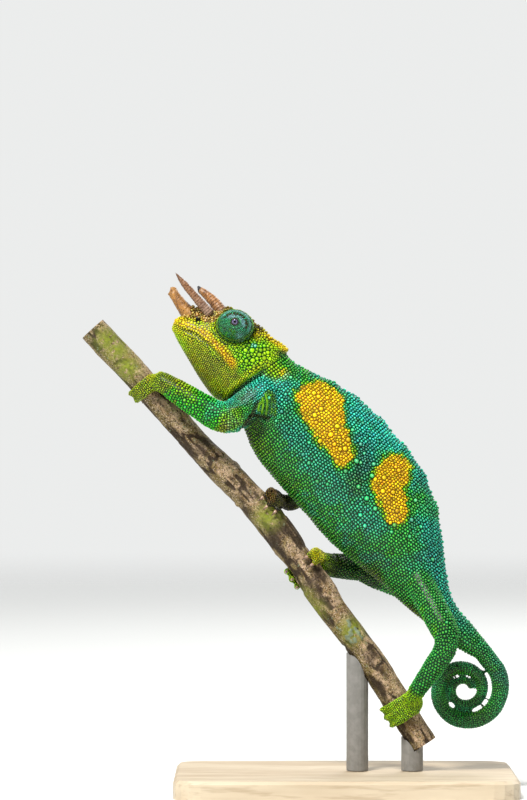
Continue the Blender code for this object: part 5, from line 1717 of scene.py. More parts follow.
def scale_piece(name, points, normals, heights, colours, roots, reaches, frames, rings, tones=(0.0, 1.0)):
    """One mesh of many domed scales; rings are (share of reach, share of height) from rim to top."""
    count, sides = reaches.shape
    angles = np.linspace(0, 2 * math.pi, sides, endpoint=False)
    first, second = frames
    spokes = np.cos(angles)[None, :, None] * first[:, None] + np.sin(angles)[None, :, None] * second[:, None]
    layers, rises, flats = [], [], []
    for share, rise in rings:
        lift = heights * rise - (SINK if rise == 0 else 0.0)
        spread = spokes * (reaches * share)[:, :, None]
        layers.append(points[:, None] + spread + (normals * lift[:, None])[:, None])
        rises.append(np.full(sides, rise))
        flats.append(np.stack((np.cos(angles), np.sin(angles)), axis=1) * share)
    top = points + normals * heights[:, None]
    per_scale = len(rings) * sides + 1
    vertices = np.concatenate(layers + [top[:, None]], axis=1)
    index = np.arange(sides)
    after = np.roll(index, -1)
    faces = [index[::-1]]
    for ring in range(len(rings) - 1):
        low, high = ring * sides, (ring + 1) * sides
        faces += [np.array((low + i, low + j, high + j, high + i)) for i, j in zip(index, after)]
    last = (len(rings) - 1) * sides
    faces += [np.array((last + i, last + j, per_scale - 1)) for i, j in zip(index, after)]
    counts = np.tile([len(face) for face in faces], count)
    corners = np.concatenate(faces)[None] + (np.arange(count) * per_scale)[:, None]
    piece = mesh_piece(name, vertices.reshape(-1, 3), corners.ravel(), counts)
    set_values(piece, "markings", np.repeat(colours, per_scale, axis=0))
    set_values(piece, "tone", np.repeat(RANDOM.uniform(*tones, count), per_scale))
    set_values(piece, "rise", np.tile(np.concatenate(rises + [[1.0]]), count))
    local = np.concatenate(flats + [np.zeros((1, 2))])
    places_on_map = roots[:, None] + local[None] * PATCH / 2
    uv = piece.data.uv_layers.new(name="OFBake")
    uv.data.foreach_set("uv", places_on_map.reshape(-1, 2)[corners.ravel()].astype(np.float32).ravel())
    return piece


print("each scale has", FINE_SIDES, "sides")

# %% The coats
FINE_RINGS = ((1.0, 0.0), (0.72, 0.66))
LARGE_RINGS = ((1.0, 0.0), (0.93, 0.42), (0.70, 0.80), (0.38, 0.96))
points = np.array(places.points)
normals = np.array(places.normals)
sizes = np.array(places.sizes)
heights = np.array(places.heights)
reaches, first, second = cell_reaches(points, normals, sizes, FINE_SIDES)
nearest = np.array([skin_index.find(point)[1] for point in points])
region = skin_region[nearest]
colours = paint(points, part_weights[nearest])
on_head = is_region(region, "head")
local = in_head(points)
in_nostril = on_head & (np.hypot(local[:, 0] - NOSTRIL_PLACE[0], local[:, 1] - NOSTRIL_PLACE[1]) < 1.0)
is_bare = in_nostril | (fold_height(points) > BARE_FOLD)
paler = 0.30 * ease(sizes, 1.3, 1.7)
colours = layered(colours, "mint", paler * ease(colours[:, 1] - colours[:, 0], 0.0, 0.12) * ~on_head)
limy = on_head * (RANDOM.random(len(points)) > 0.4)
colours = layered(colours, "lime", 0.45 * ease(sizes, 1.15, 1.5) * limy)
stray = RANDOM.normal(1.0, 0.09, (len(points), 3))
colours = np.clip(colours * stray, 0.0, 1.0)
roots = map_places(points)
COATS = {
    "scales_head": ("head",), "scales_neck": ("neck",), "scales_torso_front": ("torso_front",),
    "scales_torso_rear": ("torso_rear",), "scales_pelvis": ("pelvis",), "scales_tail": ("tail",),
    "scales_arms": ("upper_arm", "forearm"), "scales_legs": ("thigh", "shin"),
    "scales_hands": ("hand",), "scales_feet": ("foot",),
}
coats = []
triangles = 0
for name, words in COATS.items():
    mask = is_region(region, *words) & ~is_bare
    rings, tones = (LARGE_RINGS, (0.2, 0.85)) if name == "scales_head" else (FINE_RINGS, (0.0, 1.0))
    piece = scale_piece(name, points[mask], normals[mask], heights[mask], colours[mask], roots[mask],
                        reaches[mask], (first[mask], second[mask]), rings, tones)
    coats.append(piece)
    triangles += sum(len(face.vertices) - 2 for face in piece.data.polygons)
    print(name, int(mask.sum()), "scales")
print("coat triangles", triangles)

# %% [markdown]
# ## The finish of hide
# Skin and scales share one finish as a node group. It reads the stored markings and paints shade toward a
# scale's rim, where the shade also stands for the grooves' darker skin. It paints a highlight on the scale's
# top, shifts each scale's tone a little, and gives out a roughness and the height of a fine grain. The skin
# shows only between scales, in full painted shade. The head's scales and the granules of the eyes take the
# same group with less painted shade.


# %% Hide
def hide_group():
    """Colour, roughness and grain of hide from its markings, the rise over a scale and its tone, with painted
    shade toward the rim and a painted highlight on the top.
    """
    group, given, out = new_group(
        "hide_finish",
        [("Markings", "Color", (0.1, 0.4, 0.2, 1.0)), ("Rise", "Float", 0.5), ("Tone", "Float", 0.5),
         ("Depth", "Float", 0.3)],
        [("Colour", "Color"), ("Roughness", "Float"), ("Grain", "Float")])
    fine, coarse = flecks_in(group, 2600.0)
    parts = group.nodes.new("ShaderNodeSeparateColor")
    group.links.new(given.outputs["Markings"], parts.inputs["Color"])
    most_green = sum_node(group, "MULTIPLY", parts.outputs["Green"], 0.8)
    warm = sum_node(group, "SUBTRACT", parts.outputs["Red"], most_green)
    some_green = sum_node(group, "MULTIPLY", parts.outputs["Green"], 0.15)
    cool = sum_node(group, "SUBTRACT", parts.outputs["Blue"], some_green)
    # Painted shade, partly also the grooves' darker skin: toward a scale's rim and on bare skin, the markings
    # darken by a shadow tint that is warmer on yellow.
    shadow = mixed(group, ranged(group, warm, 0.0, 0.30), tint(58, 72, 48), tint(144, 126, 84))
    painted_shade_colour = mixed(group, 1.0, given.outputs["Markings"], shadow, "MULTIPLY")
    rim = sum_node(group, "SUBTRACT", 1.0, ranged(group, given.outputs["Rise"], 0.04, 0.74))
    shade = sum_node(group, "MULTIPLY", rim, given.outputs["Depth"])
    colour = mixed(group, shade, given.outputs["Markings"], painted_shade_colour)
    # Painted highlight: the top of each scale is mixed toward a pale tint, yellowish or bluish by the
    # markings.
    highlight_share = ranged(group, given.outputs["Rise"], 0.72, 1.0, 0.0, 0.50)
    highlight_tint = mixed(group, ranged(group, cool, 0.0, 0.09), tint(232, 244, 120), tint(228, 248, 226))
    pale = mixed(group, 0.66, given.outputs["Markings"], highlight_tint)
    colour = mixed(group, highlight_share, colour, pale)
    tone = ranged(group, given.outputs["Tone"], 0.0, 1.0, 0.60, 1.25)
    lift = add_node(group, "HueSaturation", {}, {"Saturation": 1.12})
    group.links.new(colour, lift.inputs["Color"])
    group.links.new(tone, lift.inputs["Value"])
    specks = ranged(group, fine, 0.48, 0.72, 0.0, 0.22)
    speckle = mixed(group, specks, lift.outputs["Color"], tint(16, 30, 14))
    group.links.new(speckle, out.inputs["Colour"])
    group.links.new(ranged(group, coarse, 0.3, 0.7, 0.30, 0.46), out.inputs["Roughness"])
    group.links.new(fine, out.inputs["Grain"])
    return group


HIDE = hide_group()


def finish_hide(name, depth):
    """A material of hide; depth is the strength of the painted shade in its low places."""
    finish, tree, shader = new_material(name, {"Specular IOR Level": 0.30})
    hide = add_node(tree, "Group", {"node_tree": HIDE})
    hide.inputs["Depth"].default_value = depth
    tree.links.new(stored(tree, "markings", "Color"), hide.inputs["Markings"])
    tree.links.new(stored(tree, "tone"), hide.inputs["Tone"])
    tree.links.new(stored(tree, "rise"), hide.inputs["Rise"])
    tree.links.new(hide.outputs["Colour"], shader.inputs["Base Color"])
    tree.links.new(hide.outputs["Roughness"], shader.inputs["Roughness"])
    add_bump(tree, shader, hide.outputs["Grain"], 0.00008, 0.5)
    return finish


# The number given to each finish is the strength of its painted shade.
skin_finish = finish_hide("hide_between_scales", 1.0)
scale_finish = finish_hide("hide_scales", 1.0)
head_finish = finish_hide("hide_scales_head", 0.66)
granule_finish = finish_hide("hide_granules", 0.5)
skin.data.materials.append(skin_finish)
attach(skin, "root")
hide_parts(*SKIN_NODES)
for coat in coats:
    coat.data.materials.append(head_finish if coat.name in ("scales_head", "scales_hands") else scale_finish)
    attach(coat, "root")
print("hide finished")

# %% [markdown]
# ## The eyes
# A chameleon's eye is a cone of fused lids, the turret, with a small hole for the eyeball. The turret is
# turned from its profile, because it is round about its own axis, and covered with rings of fine granules.
# Its markings run round that axis: green, with blue-grey arcs above the hole and a dotted dark ring.

# %% Turrets
TURRET_SIDES = 96
TURRET_INSET = 0.14             # mm that the turret lies inside its solid
TURRET_REACH = 8.0              # mm from a turret's axis that its place on the map covers
TURRET_ON_MAP = 0.22
GRANULE = 0.52
GRANULE_RISE = 0.30
GRANULE_SIDES = 6
GRANULES_FROM = 3.2             # mm up the turret's outline where the granules begin
LIPS = (                        # height, radius and flatness of the rings round the ball and back inside
    (10.15, 1.52, 0.86), (10.36, 1.32, 0.86), (10.36, 1.2, 0.86), (10.02, 1.4, 1.0), (9.6, 1.62, 1.0),
    (9.0, 1.78, 1.0), (8.4, 1.86, 1.0),
)
LIPS_OUTSIDE = 2                # how many of these rings lie outside and carry granules


def turret_rings(side):
    """Rings of the turret from its foot to the rim of the hole and back inside, with the frame there."""
    profile = smooth_chain(TURRET_PROFILE, 6)
    flatness = EYE_ASPECT + (1 - EYE_ASPECT) * (profile[:, 0] / profile[-1, 0]) ** 2
    profile = np.vstack((np.column_stack((profile, flatness)), LIPS))
    angles = np.linspace(0, 2 * math.pi, TURRET_SIDES, endpoint=False)
    rings = []
    long_way = BACK * math.cos(EYE_TILT) + UP * math.sin(EYE_TILT)
    short_way = UP * math.cos(EYE_TILT) - BACK * math.sin(EYE_TILT)
    for height, radius, squash in profile:
        share = min(height / TURRET_PROFILE[-1][0], 1.0) ** 2
        centre = head_point(TURRET_PLACE[0] + GAZE[0] * share, TURRET_PLACE[1] + GAZE[1] * share,
                            side * (TURRET_BASE + height - TURRET_INSET))
        spokes = np.cos(angles)[:, None] * long_way + np.sin(angles)[:, None] * short_way * squash
        rings.append(centre + spokes * radius)
    return np.array(rings)


def paint_turret(points):
    """Ground colours of a turret, and the distance from its axis, angle round it and height above it."""
    local = in_head(points)
    du = local[:, 0] - TURRET_PLACE[0] - GAZE[0] * 0.5
    dv = local[:, 1] - TURRET_PLACE[1] - GAZE[1] * 0.5
    out = eye_distance(local, 0.5)
    angle = np.degrees(np.arctan2(dv, -du))
    cloud = lattice_noise(points, 1.6, 51) + 0.6 * lattice_noise(points, 0.7, 52)
    colours = np.tile(tint(44, 160, 112), (len(points), 1))
    colours = layered(colours, "emerald", 0.6 * ease(cloud, 0.1, 0.7))
    colours = layered(colours, "deep_teal", 0.5 * ease(-cloud, 0.0, 0.7))
    below = ease(-dv, 0.0, 3.0)
    colours = layered(colours, "dark_green", 0.6 * below * (1 - 0.7 * ease(cloud, 0.0, 0.6)))
    colours = layered(colours, "leaf", 0.75 * below * ease(lattice_noise(points, 0.6, 54), 0.15, 0.4))
    return colours, out, angle, dv


def turret_colours(points):
    """Those markings with the blue arcs, the dotted ring, the foot's rings, painted shade just inside the
    lid's rim and a pale ring round it.
    """
    colours, out, angle, dv = paint_turret(points)
    du = in_head(points)[:, 0] - TURRET_PLACE[0]
    blue = np.maximum(hump(np.abs(out - 3.3), 1.3) * ease(dv, 0.0, 1.6),
                      0.6 * hump(np.hypot(du - 3.6, dv + 3.0), 2.4))
    blue = np.maximum(blue, 0.6 * hump(np.abs(out - 5.6), 0.7) * ease(dv, -1.0, 1.0))
    colours = colours * (1 - blue[:, None]) + tint(140, 190, 200) * blue[:, None]
    dashes = ease(np.sin(np.radians(angle) * 20), -0.9, -0.5) * ease(0.6 - np.abs(out - 4.4), 0.0, 0.25)
    colours = layered(colours, "umber", dashes * ease(dv, -0.4, 1.0))
    colours = layered(colours, "dark_green", 0.9 * hump(np.abs(out - 6.15), 0.4))
    colours = layered(colours, "lime", 0.55 * hump(np.abs(out - 6.6), 0.35))
    colours = layered(colours, "umber", 0.9 * hump(np.abs(out - 7.0), 0.35))
    lid = in_head(points)[:, :2] - np.array(TURRET_PLACE) - GAZE
    lid_out = np.hypot(lid[:, 0], lid[:, 1])
    # Painted shade: umber just inside the lid's rim, down into the hole.
    colours = layered(colours, "umber", hump(lid_out - 1.25, 0.6))
    return layered(colours, "mint", 0.6 * hump(np.abs(lid_out - 2.0), 0.45) * ease(lid[:, 0], -1.6, 0.8))


def granule_places(rings):
    """Places of granules in rings round the turret, half a step apart from ring to ring."""
    flat = rings.mean(axis=1)
    radii = np.linalg.norm(rings - flat[:, None], axis=2).mean(axis=1)
    steps = np.hypot(np.diff(radii), np.linalg.norm(np.diff(flat, axis=0), axis=1))
    travel = np.concatenate(([0.0], np.cumsum(steps)))
    found = []
    for number, at in enumerate(np.arange(GRANULES_FROM, travel[-1], GRANULE)):
        ring = np.array([[np.interp(at, travel, rings[:, spoke, axis]) for axis in range(3)]
                         for spoke in range(0, TURRET_SIDES, 4)])
        around = resampled(np.vstack((ring, ring[:1])), GRANULE)[:-1]
        found.append(around * 0.5 + np.roll(around, -1, axis=0) * 0.5 if number % 2 else around)
    return np.concatenate(found)


print("a turret's outline has", len(TURRET_PROFILE), "named rings and its lips", len(LIPS))

# %% Both turrets
for side, word in ((-1, "left"), (1, "right")):
    rings = turret_rings(side)
    turret = loft("turret_" + word, rings if side > 0 else rings[:, ::-1])
    set_values(turret, "markings", turret_colours(points_of(turret)))
    set_values(turret, "tone", 0.5 + 0.5 * lattice_noise(points_of(turret), 0.5, 53))
    # A rise of zero gives the turret full painted shade between its granules.
    set_values(turret, "rise", np.zeros(len(turret.data.vertices)))
    turret.data.materials.append(skin_finish)
    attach(turret, "root")
    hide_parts("eye_turret_" + word)
    outer = rings[:len(rings) - len(LIPS) + LIPS_OUTSIDE]
    tree = BVHTree.FromObject(turret, bpy.context.evaluated_depsgraph_get())
    granules, turned = [], []
    middle = head_point(TURRET_PLACE[0], TURRET_PLACE[1], side * TURRET_BASE)
    for point in granule_places(outer):
        hit, normal = tree.find_nearest(Vector(point) * MM)[:2]
        normal = np.array(normal)
        granules.append(np.array(hit) / MM)
        turned.append(normal if np.dot(normal, granules[-1] - middle) > 0 else -normal)
    granules = np.array(granules) + RANDOM.normal(0, 0.045, (len(granules), 3))
    turned = unit(np.array(turned))
    wide = np.full(len(granules), GRANULE)
    local = in_head(granules)[:, :2] - TURRET_PLACE
    on_map = local / TURRET_REACH * TURRET_ON_MAP + (0.25 if side < 0 else 0.75, 0.5)
    reach, one, two = cell_reaches(granules, turned, wide, GRANULE_SIDES)
    coat = scale_piece("scales_turret_" + word, granules, turned, wide * GRANULE_RISE,
                       turret_colours(granules), on_map, reach, (one, two), FINE_RINGS)
    coat.data.materials.append(granule_finish)
    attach(coat, "root")
    print(turret.name, "with", len(granules), "granules")

# %% Eyeballs
EYE_ROWS = 24
EYE_SIDES = 36
DRESSED_EYEBALL = 1.7           # radius, a little less than the solid's, so that the lips clear it
IRIS_RADIUS = 1.0
PUPIL_RADIUS = 0.42


def finish_eye():
    """A dark wet eyeball: black pupil, a violet-grey iris that is partly a painted reflection, painted shade
    of the lids round it, and a clear coat.
    """
    finish, tree, shader = new_material("eyeball_wet", {"Roughness": 0.12, "Coat Weight": 0.5,
                                                        "Coat Roughness": 0.03, "Specular IOR Level": 0.2})
    iris = ranged(tree, stored(tree, "from_gaze"), PUPIL_RADIUS, PUPIL_RADIUS + 0.12)
    outside = ranged(tree, stored(tree, "from_gaze"), IRIS_RADIUS, IRIS_RADIUS + 0.2)
    fine, _ = flecks_in(tree, 4000.0)
    # The violet-grey iris is partly the eye's own colour and partly a painted reflection of bright
    # surroundings.
    violet = mixed(tree, ranged(tree, fine, 0.4, 0.65), tint(70, 62, 92), tint(122, 112, 150))
    colour = mixed(tree, iris, tint(2, 2, 4), violet)
    # Painted shade: outside the iris the ball is near black, where the lids shade it.
    tree.links.new(mixed(tree, outside, colour, tint(5, 5, 7)), shader.inputs["Base Color"])
    return finish


eye_finish = finish_eye()
for side, word in ((-1, "left"), (1, "right")):
    middle = head_point(TURRET_PLACE[0] + GAZE[0], TURRET_PLACE[1] + GAZE[1],
                        side * (TURRET_BASE + EYEBALL_DEPTH))
    ball = egg("eyeball_wet_" + word, middle, (FAR * side, BACK, UP * side), (DRESSED_EYEBALL,) * 3,
               EYE_ROWS, EYE_SIDES)
    local = in_head(points_of(ball)) - in_head(middle)
    set_values(ball, "from_gaze", np.hypot(local[:, 0], local[:, 1]) + 9.0 * (local[:, 2] * side < 0))
    ball.data.materials.append(eye_finish)
    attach(ball, "root")
    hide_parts("eyeball_" + word)
print("eyes made")

# %% [markdown]
# ## Horns and claws
# Horns grow in rings, so each is a swept cone whose radius steps up and down along it, with fine cracks
# from noise. The snout's horn is worn blunt, the near one is sharp and the far one ends in a dark stub.

# %% Horns
HORN_SIDES = 40
HORN_STEPS = 8                  # rings of the mesh for each ring of the horn
HORN_RIDGE = 0.055
HORN_STUBS = {"horn_right": 0.93}       # share along the horn where its dark stub begins
STUB_RADIUS = 0.95
HORN_INSET = 0.12               # mm that a horn lies inside its solid
TIP_ROUNDING = 0.05             # share of a horn's length over which its tip is rounded
ROUND_FEET = {"horn_left": 0.07}        # share along the horn over which its foot is rounded


def horn_piece(name, foot, tip, radii, ring_count, bow, blunt, ringed):
    """A ringed, slightly bowed horn; blunt is how rough its end is worn, ringed how strong its rings are."""
    steps = ring_count * HORN_STEPS
    share = np.linspace(0.0, 1.0, steps + 1)
    foot_at, tip_at = head_point(*foot), head_point(*tip)
    centres = foot_at + (tip_at - foot_at) * share[:, None] + UP * bow * np.sin(math.pi * share)[:, None]
    swell, narrow = HORN_SWELL
    wide = np.interp(share, HORN_SHARES, (radii[0], radii[1] * swell, radii[1] * narrow, radii[2]))
    saw = (share * ring_count) % 1.0
    wide = wide * (1 + HORN_RIDGE * ringed * (0.6 - saw) * (1 - 0.7 * share)) - HORN_INSET
    if name in ROUND_FEET:
        wide = wide * np.sqrt(np.clip(1 - (1 - share / ROUND_FEET[name]).clip(0, 1) ** 2, 0.12, 1))
    if name in HORN_STUBS:
        wide = wide - (wide - STUB_RADIUS) * ease(share, HORN_STUBS[name] - 0.02, HORN_STUBS[name])
    near_tip = ((share - 1 + TIP_ROUNDING) / TIP_ROUNDING).clip(0, 1)
    rounding = np.sqrt(np.clip(1 - near_tip ** 2 * 0.96, 0.02, 1))
    rings = rings_along(centres, wide * rounding, HORN_SIDES, FAR)
    spokes = unit(rings - centres[:, None])
    flat = rings.reshape(-1, 3)
    rough = 0.10 * lattice_noise(flat, 0.9, 61) + 0.05 * lattice_noise(flat, 0.4, 62)
    end = ease(share, 0.86, 1.0)[:, None] * blunt
    worn = rough.reshape(rings.shape[:2]) * (1 + 2.2 * end)
    rings = rings + spokes * worn[:, :, None]
    shift = (0.7 * lattice_noise(flat, 1.1, 63).reshape(rings.shape[:2]) + 0.75 * (spokes @ UP)) * end
    rings = rings + unit(tip_at - foot_at) * shift[:, :, None]
    piece = loft(name + "_ringed", rings)
    set_values(piece, "along", np.repeat(share, HORN_SIDES))
    set_values(piece, "ring", np.repeat(np.abs(saw - 0.5) * 2 * ringed, HORN_SIDES))
    set_values(piece, "pits", lattice_noise(flat, 0.62, 64))
    return piece


print("horns to make:", len(HORNS))


# %% Finish of the horns
def finish_horn(name, base, middle, tip, dark_tip):
    """Horn: brown with darker rings, long flecks and a tip of its own colour."""
    finish, tree, shader = new_material(name, {"Specular IOR Level": 0.45, "Coat Weight": 0.08,
                                               "Coat Roughness": 0.35})
    fine, coarse = flecks_in(tree, 1700.0, (1.0, 1.0, 0.5))
    along = stored(tree, "along")
    colour = mixed(tree, ranged(tree, along, 0.1, 0.55), base, middle)
    colour = mixed(tree, ranged(tree, along, 0.7, 1.0), colour, tip)
    colour = mixed(tree, ranged(tree, coarse, 0.42, 0.62, 0.0, 0.5), colour, tint(92, 60, 38))
    colour = mixed(tree, ranged(tree, fine, 0.52, 0.70, 0.0, 0.75), colour, tint(64, 44, 34))
    colour = mixed(tree, ranged(tree, stored(tree, "ring"), 0.66, 1.0, 0.0, 0.75), colour, tint(74, 50, 38))
    colour = mixed(tree, ranged(tree, stored(tree, "pits"), 0.38, 0.62, 0.0, 0.75), colour, tint(86, 48, 22))
    if dark_tip:
        colour = mixed(tree, ranged(tree, along, 0.915, 0.935), colour, tint(46, 42, 44))
    connect_grain(tree, shader, colour, fine, 0.38, 0.62, 0.00012, 0.8)
    return finish


HORN_LOOKS = {
    "horn_rostral": (tint(154, 112, 50), tint(176, 122, 54), tint(168, 122, 66), False),
    "horn_left": (tint(146, 116, 96), tint(138, 96, 62), tint(108, 72, 42), False),
    "horn_right": (tint(152, 110, 70), tint(172, 118, 64), tint(170, 122, 66), True),
}
for name, sizes_of_horn in HORNS.items():
    piece = horn_piece(name, *sizes_of_horn)
    piece.data.materials.append(finish_horn(name + "_brown", *HORN_LOOKS[name]))
    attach(piece, "root")
    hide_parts(name)
    print(piece.name, len(piece.data.polygons), "faces")

# %% Claws
CLAW_STEPS = 12
CLAW_SIDES = 10


def finish_claw():
    """Claws: pinkish brown at the root, darker toward the point, and glossy."""
    finish, tree, shader = new_material("claw_horn", {"Roughness": 0.32, "Coat Weight": 0.3,
                                                      "Coat Roughness": 0.2})
    colour = mixed(tree, ranged(tree, stored(tree, "along"), 0.1, 0.8), tint(176, 142, 118), tint(84, 60, 50))
    fine, _ = flecks_in(tree, 3000.0)
    tree.links.new(mixed(tree, ranged(tree, fine, 0.4, 0.7, 0, 0.4), colour, tint(60, 42, 36)),
                   shader.inputs["Base Color"])
    return finish


claw_finish = finish_claw()
for key in GRIPS:
    toes = grip_paths(key)[-1]
    claws = []
    for number, (points, radii, (root, reach, inward, along)) in enumerate(toes):
        share = np.linspace(0.0, 1.0, CLAW_STEPS)[:, None]
        path = root + reach * (TOE_RADIUS * 0.35 + CLAW_LENGTH * share) + inward * share ** 2
        sizes_along = CLAW_RADIUS * (1.05 - 0.97 * share[:, 0] ** 1.4)
        claw = loft(f"claws_{key}_{number}", rings_along(path, sizes_along, CLAW_SIDES, along))
        set_values(claw, "along", np.repeat(share[:, 0], CLAW_SIDES))
        claws.append(claw)
    piece = joined_piece("claws_" + key, claws)
    piece.data.materials.append(claw_finish)
    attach(piece, "root")
    print(piece.name, len(toes), "claws")

# %% [markdown]
# ## The branch
# The perch is a swept tube like its solid, with many more points, so that long ridges, cracks, knots and
# splits can stand in its bark. Its colour follows the same relief, dark in the cracks, with moss and
# grey-green lichen in the places where the photograph shows them. Both cut ends show wood.

# %% Branch
BRANCH_SIDES = 96
BRANCH_PITCH = 0.42
BRANCH_RADIUS = 5.2             # mean radius, by which angles round the branch become millimetres
KNOTS = (                       # pixel, angle from the upper side toward the viewer, radius and height in mm
    ((366, 630), 60.0, 2.4, 0.9), ((240, 462), -20.0, 2.6, 0.8), ((264, 510), 40.0, 3.4, 0.7),
    ((185, 415), 30.0, 2.2, 0.7), ((330, 590), 75.0, 2.0, 0.6), ((236, 505), 160.0, 1.6, 0.8),
    ((300, 575), 20.0, 2.6, 0.5), ((213, 446), 120.0, 1.6, 0.6), ((380, 668), 110.0, 1.8, 0.7),
    ((128, 370), 80.0, 2.2, 0.7), ((352, 618), 150.0, 1.7, 0.8), ((285, 548), 200.0, 2.0, 0.8),
)
MOSS_PIXELS = ((274, 506), (128, 368), (300, 600), (352, 630), (118, 350), (108, 340), (268, 516), (312, 612))
LICHEN_PIXELS = ((352, 632), (346, 640), (357, 623), (343, 628), (362, 634))
LICHEN_PLATES = 26              # small raised plates round those places
BARK_SINK = 0.25
WOOD_RINGS = 8.0                # how close the cut ends' rings stand, in radians for each mm
CUT_SHARES = (0.94, 0.72, 0.48, 0.24, 0.05)     # rings across each cut end, against its radius


def branch_piece():
    """The bark as one closed surface, with its relief stored for the material."""
    rows = resampled(BRANCH, BRANCH_PITCH)
    rings = rings_along(rows[:, :3], rows[:, 3], BRANCH_SIDES, ACROSS)
    centres = rows[:, None, :3]
    spokes = unit(rings - centres)
    along = directions_along(rows[:, :3])
    travel = np.cumsum(np.full(len(rows), BRANCH_PITCH))
    above = np.stack((-along[:, 2], np.zeros(len(rows)), along[:, 0]), axis=1)
    angle = np.arctan2(-spokes[:, :, 1], np.einsum("rsc,rc->rs", spokes, above))
    round_way = np.stack((np.cos(angle), np.sin(angle)), axis=-1) * BRANCH_RADIUS
    sample = np.concatenate((round_way, np.repeat(travel[:, None, None], BRANCH_SIDES, axis=1)), axis=-1)
    flat = sample.reshape(-1, 3)
    ridges = lattice_noise(flat * (1, 1, 0.22), 1.5, 71)
    cracks = lattice_noise(flat * (1, 1, 0.35), 0.75, 72)
    lumps = lattice_noise(flat * (1, 1, 0.5), 3.6, 73)
    relief = (0.26 * lumps + 0.16 * (1 - 2 * np.abs(ridges)) + 0.10 * cracks).reshape(angle.shape) - BARK_SINK
    for pixel, degrees, radius, height in KNOTS:
        x, z = at_pixel(pixel)
        row = int(np.argmin(np.hypot(rows[:, 0] - x, rows[:, 2] - z)))
        turn = np.angle(np.exp(1j * (angle - math.radians(degrees))))
        away = np.hypot((travel - travel[row])[:, None], turn * BRANCH_RADIUS)
        relief += height * (hump(away, radius) - 0.9 * hump(away, radius * 0.4))
    plates = np.zeros(relief.shape)
    chance = np.random.default_rng(7)
    for pixel in chance.choice(np.array(LICHEN_PIXELS, float), LICHEN_PLATES):
        x, z = at_pixel(pixel + chance.normal(0, 2.6, 2))
        row = int(np.argmin(np.hypot(rows[:, 0] - x, rows[:, 2] - z)))
        turn = np.angle(np.exp(1j * (angle - math.radians(chance.uniform(55, 120)))))
        away = np.hypot((travel - travel[row])[:, None], turn * BRANCH_RADIUS)
        plates = np.maximum(plates, hump(away, chance.uniform(0.7, 1.3)))
    relief += 0.45 * plates
    splits = hump(np.abs(lattice_noise(flat * (1, 1, 0.3), 1.9, 74)), 0.26)
    splits = splits * ease(lattice_noise(flat * (1, 1, 0.5), 3.0, 75), 0.0, 0.25)
    relief -= 0.4 * splits.reshape(relief.shape)
    rings = rings + spokes * relief[:, :, None]
    shares = np.array(CUT_SHARES)[:, None, None]
    first = centres[0] + (rings[0] - centres[0]) * shares
    last = centres[-1] + (rings[-1] - centres[-1]) * shares
    rings = np.concatenate((first[::-1], rings, last))
    piece = loft("branch_bark", rings)
    ends = ((len(CUT_SHARES),) * 2, (0, 0))
    on_cut = np.pad(np.zeros(relief.shape), ends, constant_values=1.0)
    set_values(piece, "cut", on_cut.ravel())
    axis = np.concatenate((centres[:1],) * len(CUT_SHARES) + (centres,) + (centres[-1:],) * len(CUT_SHARES))
    set_values(piece, "from_axis", np.linalg.norm(rings - axis, axis=2).ravel())
    set_values(piece, "relief", np.pad(relief, ends).ravel())
    set_values(piece, "lichen", np.pad(ease(plates, 0.25, 0.5), ends).ravel())
    moss = np.zeros(rings.shape[0] * rings.shape[1])
    where = rings.reshape(-1, 3)[:, [0, 2]]
    for pixel in MOSS_PIXELS:
        away = np.linalg.norm(where - at_pixel(pixel), axis=1)
        moss = np.maximum(moss, hump(away, 8.0))
    set_values(piece, "moss", moss)
    # Painted shade: how far the bark toward its underside darkens to olive brown.
    under = 0.7 * ease(np.degrees(np.abs(angle)), 98.0, 132.0)
    set_values(piece, "under", np.pad(under, ends).ravel())
    return piece


print("knots in the bark:", len(KNOTS))


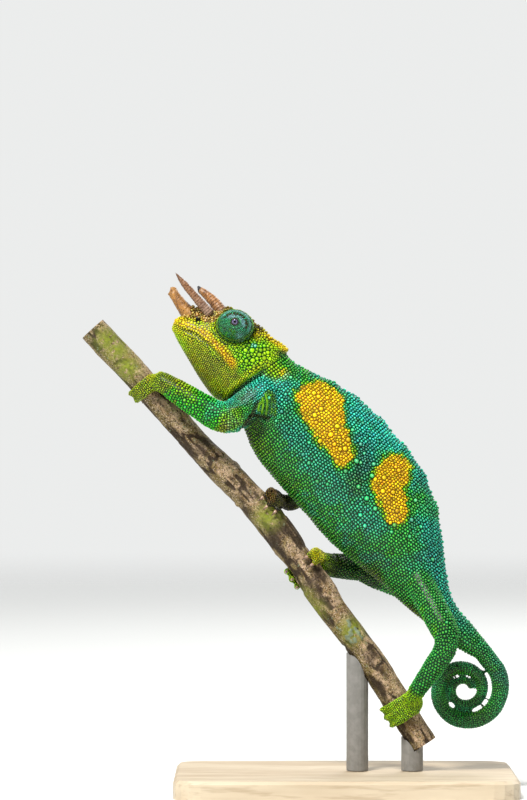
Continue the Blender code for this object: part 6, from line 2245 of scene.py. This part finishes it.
# %% Bark
def finish_bark():
    """Bark: pinkish grey-brown with flecks, painted shade toward its underside, dark cracks, moss and lichen,
    and wood on the cut ends.
    """
    finish, tree, shader = new_material("bark_rough", {"Specular IOR Level": 0.25})
    fine, coarse = flecks_in(tree, 900.0)
    dark_fine, _ = flecks_in(tree, 1500.0)
    tiny, patches = flecks_in(tree, 2600.0)
    colour = mixed(tree, ranged(tree, coarse, 0.38, 0.62), tint(128, 102, 66), tint(184, 156, 126))
    colour = mixed(tree, ranged(tree, patches, 0.44, 0.60, 0.0, 0.5), colour, tint(122, 112, 60))
    # Painted shade: toward the underside the bark turns a dark olive brown.
    bark_in_painted_shade = mixed(tree, coarse, tint(64, 56, 18), tint(118, 108, 50))
    colour = mixed(tree, stored(tree, "under"), colour, bark_in_painted_shade)
    colour = mixed(tree, ranged(tree, dark_fine, 0.50, 0.60, 0.0, 0.85), colour, tint(50, 34, 22))
    colour = mixed(tree, ranged(tree, tiny, 0.56, 0.64, 0.0, 0.7), colour, tint(224, 202, 180))
    cracks = ranged(tree, stored(tree, "relief"), -0.42, -0.08, 0.9, 0.0)
    colour = mixed(tree, cracks, colour, tint(40, 28, 18))
    green = sum_node(tree, "MULTIPLY", stored(tree, "moss"), ranged(tree, patches, 0.30, 0.46))
    colour = mixed(tree, green, colour, mixed(tree, fine, tint(52, 60, 16), tint(150, 160, 50)))
    lichen = sum_node(tree, "MAXIMUM", ranged(tree, patches, 0.66, 0.72, 0.0, 0.7), stored(tree, "lichen"))
    colour = mixed(tree, lichen, colour, mixed(tree, fine, tint(74, 86, 66), tint(142, 154, 126)))
    turns = sum_node(tree, "SINE", sum_node(tree, "MULTIPLY", stored(tree, "from_axis"), WOOD_RINGS), 0.0)
    wood = mixed(tree, ranged(tree, turns, -0.5, 0.9), tint(196, 166, 122), tint(152, 118, 78))
    colour = mixed(tree, stored(tree, "cut"), colour, mixed(tree, coarse, wood, tint(128, 100, 70)))
    connect_grain(tree, shader, colour, fine, 0.62, 0.9, 0.0003, 0.7)
    return finish


branch = branch_piece()
branch.data.materials.append(finish_bark())
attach(branch, "root")
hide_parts("perch")
print("branch:", len(branch.data.polygons), "faces")

# %% [markdown]
# ## The stand
# The stand is the plain kind a museum uses: a pale wooden plate and two painted rods. Their solids already
# have the right shape, so they stay, and only get finishes of their own.


# %% Stand
def finish_wood():
    """Pale varnished wood with a long grain."""
    finish, tree, shader = new_material("stand_wood", {"Specular IOR Level": 0.4, "Coat Weight": 0.2,
                                                       "Coat Roughness": 0.3})
    fine, coarse = flecks_in(tree, 420.0, (0.12, 1.0, 1.0))
    colour = mixed(tree, ranged(tree, coarse, 0.3, 0.7), tint(190, 170, 142), tint(214, 198, 172))
    colour = mixed(tree, ranged(tree, fine, 0.5, 0.7, 0.0, 0.45), colour, tint(158, 134, 104))
    connect_grain(tree, shader, colour, fine, 0.42, 0.58, 0.00008, 0.6)
    return finish


def finish_rod():
    """Rods in a dull grey paint with a faint orange-peel texture."""
    finish, tree, shader = new_material("rod_paint", {"Specular IOR Level": 0.5, "Metallic": 0.0})
    fine, coarse = flecks_in(tree, 1800.0)
    colour = mixed(tree, ranged(tree, coarse, 0.3, 0.7), tint(118, 116, 112), tint(132, 130, 126))
    connect_grain(tree, shader, colour, fine, 0.38, 0.5, 0.00005, 0.5)
    return finish


wood, paint_finish = finish_wood(), finish_rod()
for node, finish, slot in (("stand_base", wood, "stand"), ("stand_rod_1", paint_finish, "stand_rods"),
                           ("stand_rod_2", paint_finish, "stand_rods")):
    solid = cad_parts[node]
    solid.data.materials.clear()
    solid.data.materials.append(finish)
print("stand finished")

# %% The end
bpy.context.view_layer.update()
shown = [piece for piece in bpy.data.objects if piece.type == "MESH" and not piece.hide_render]
print("triangles shown:", sum(sum(len(face.vertices) - 2 for face in piece.data.polygons) for piece in shown))
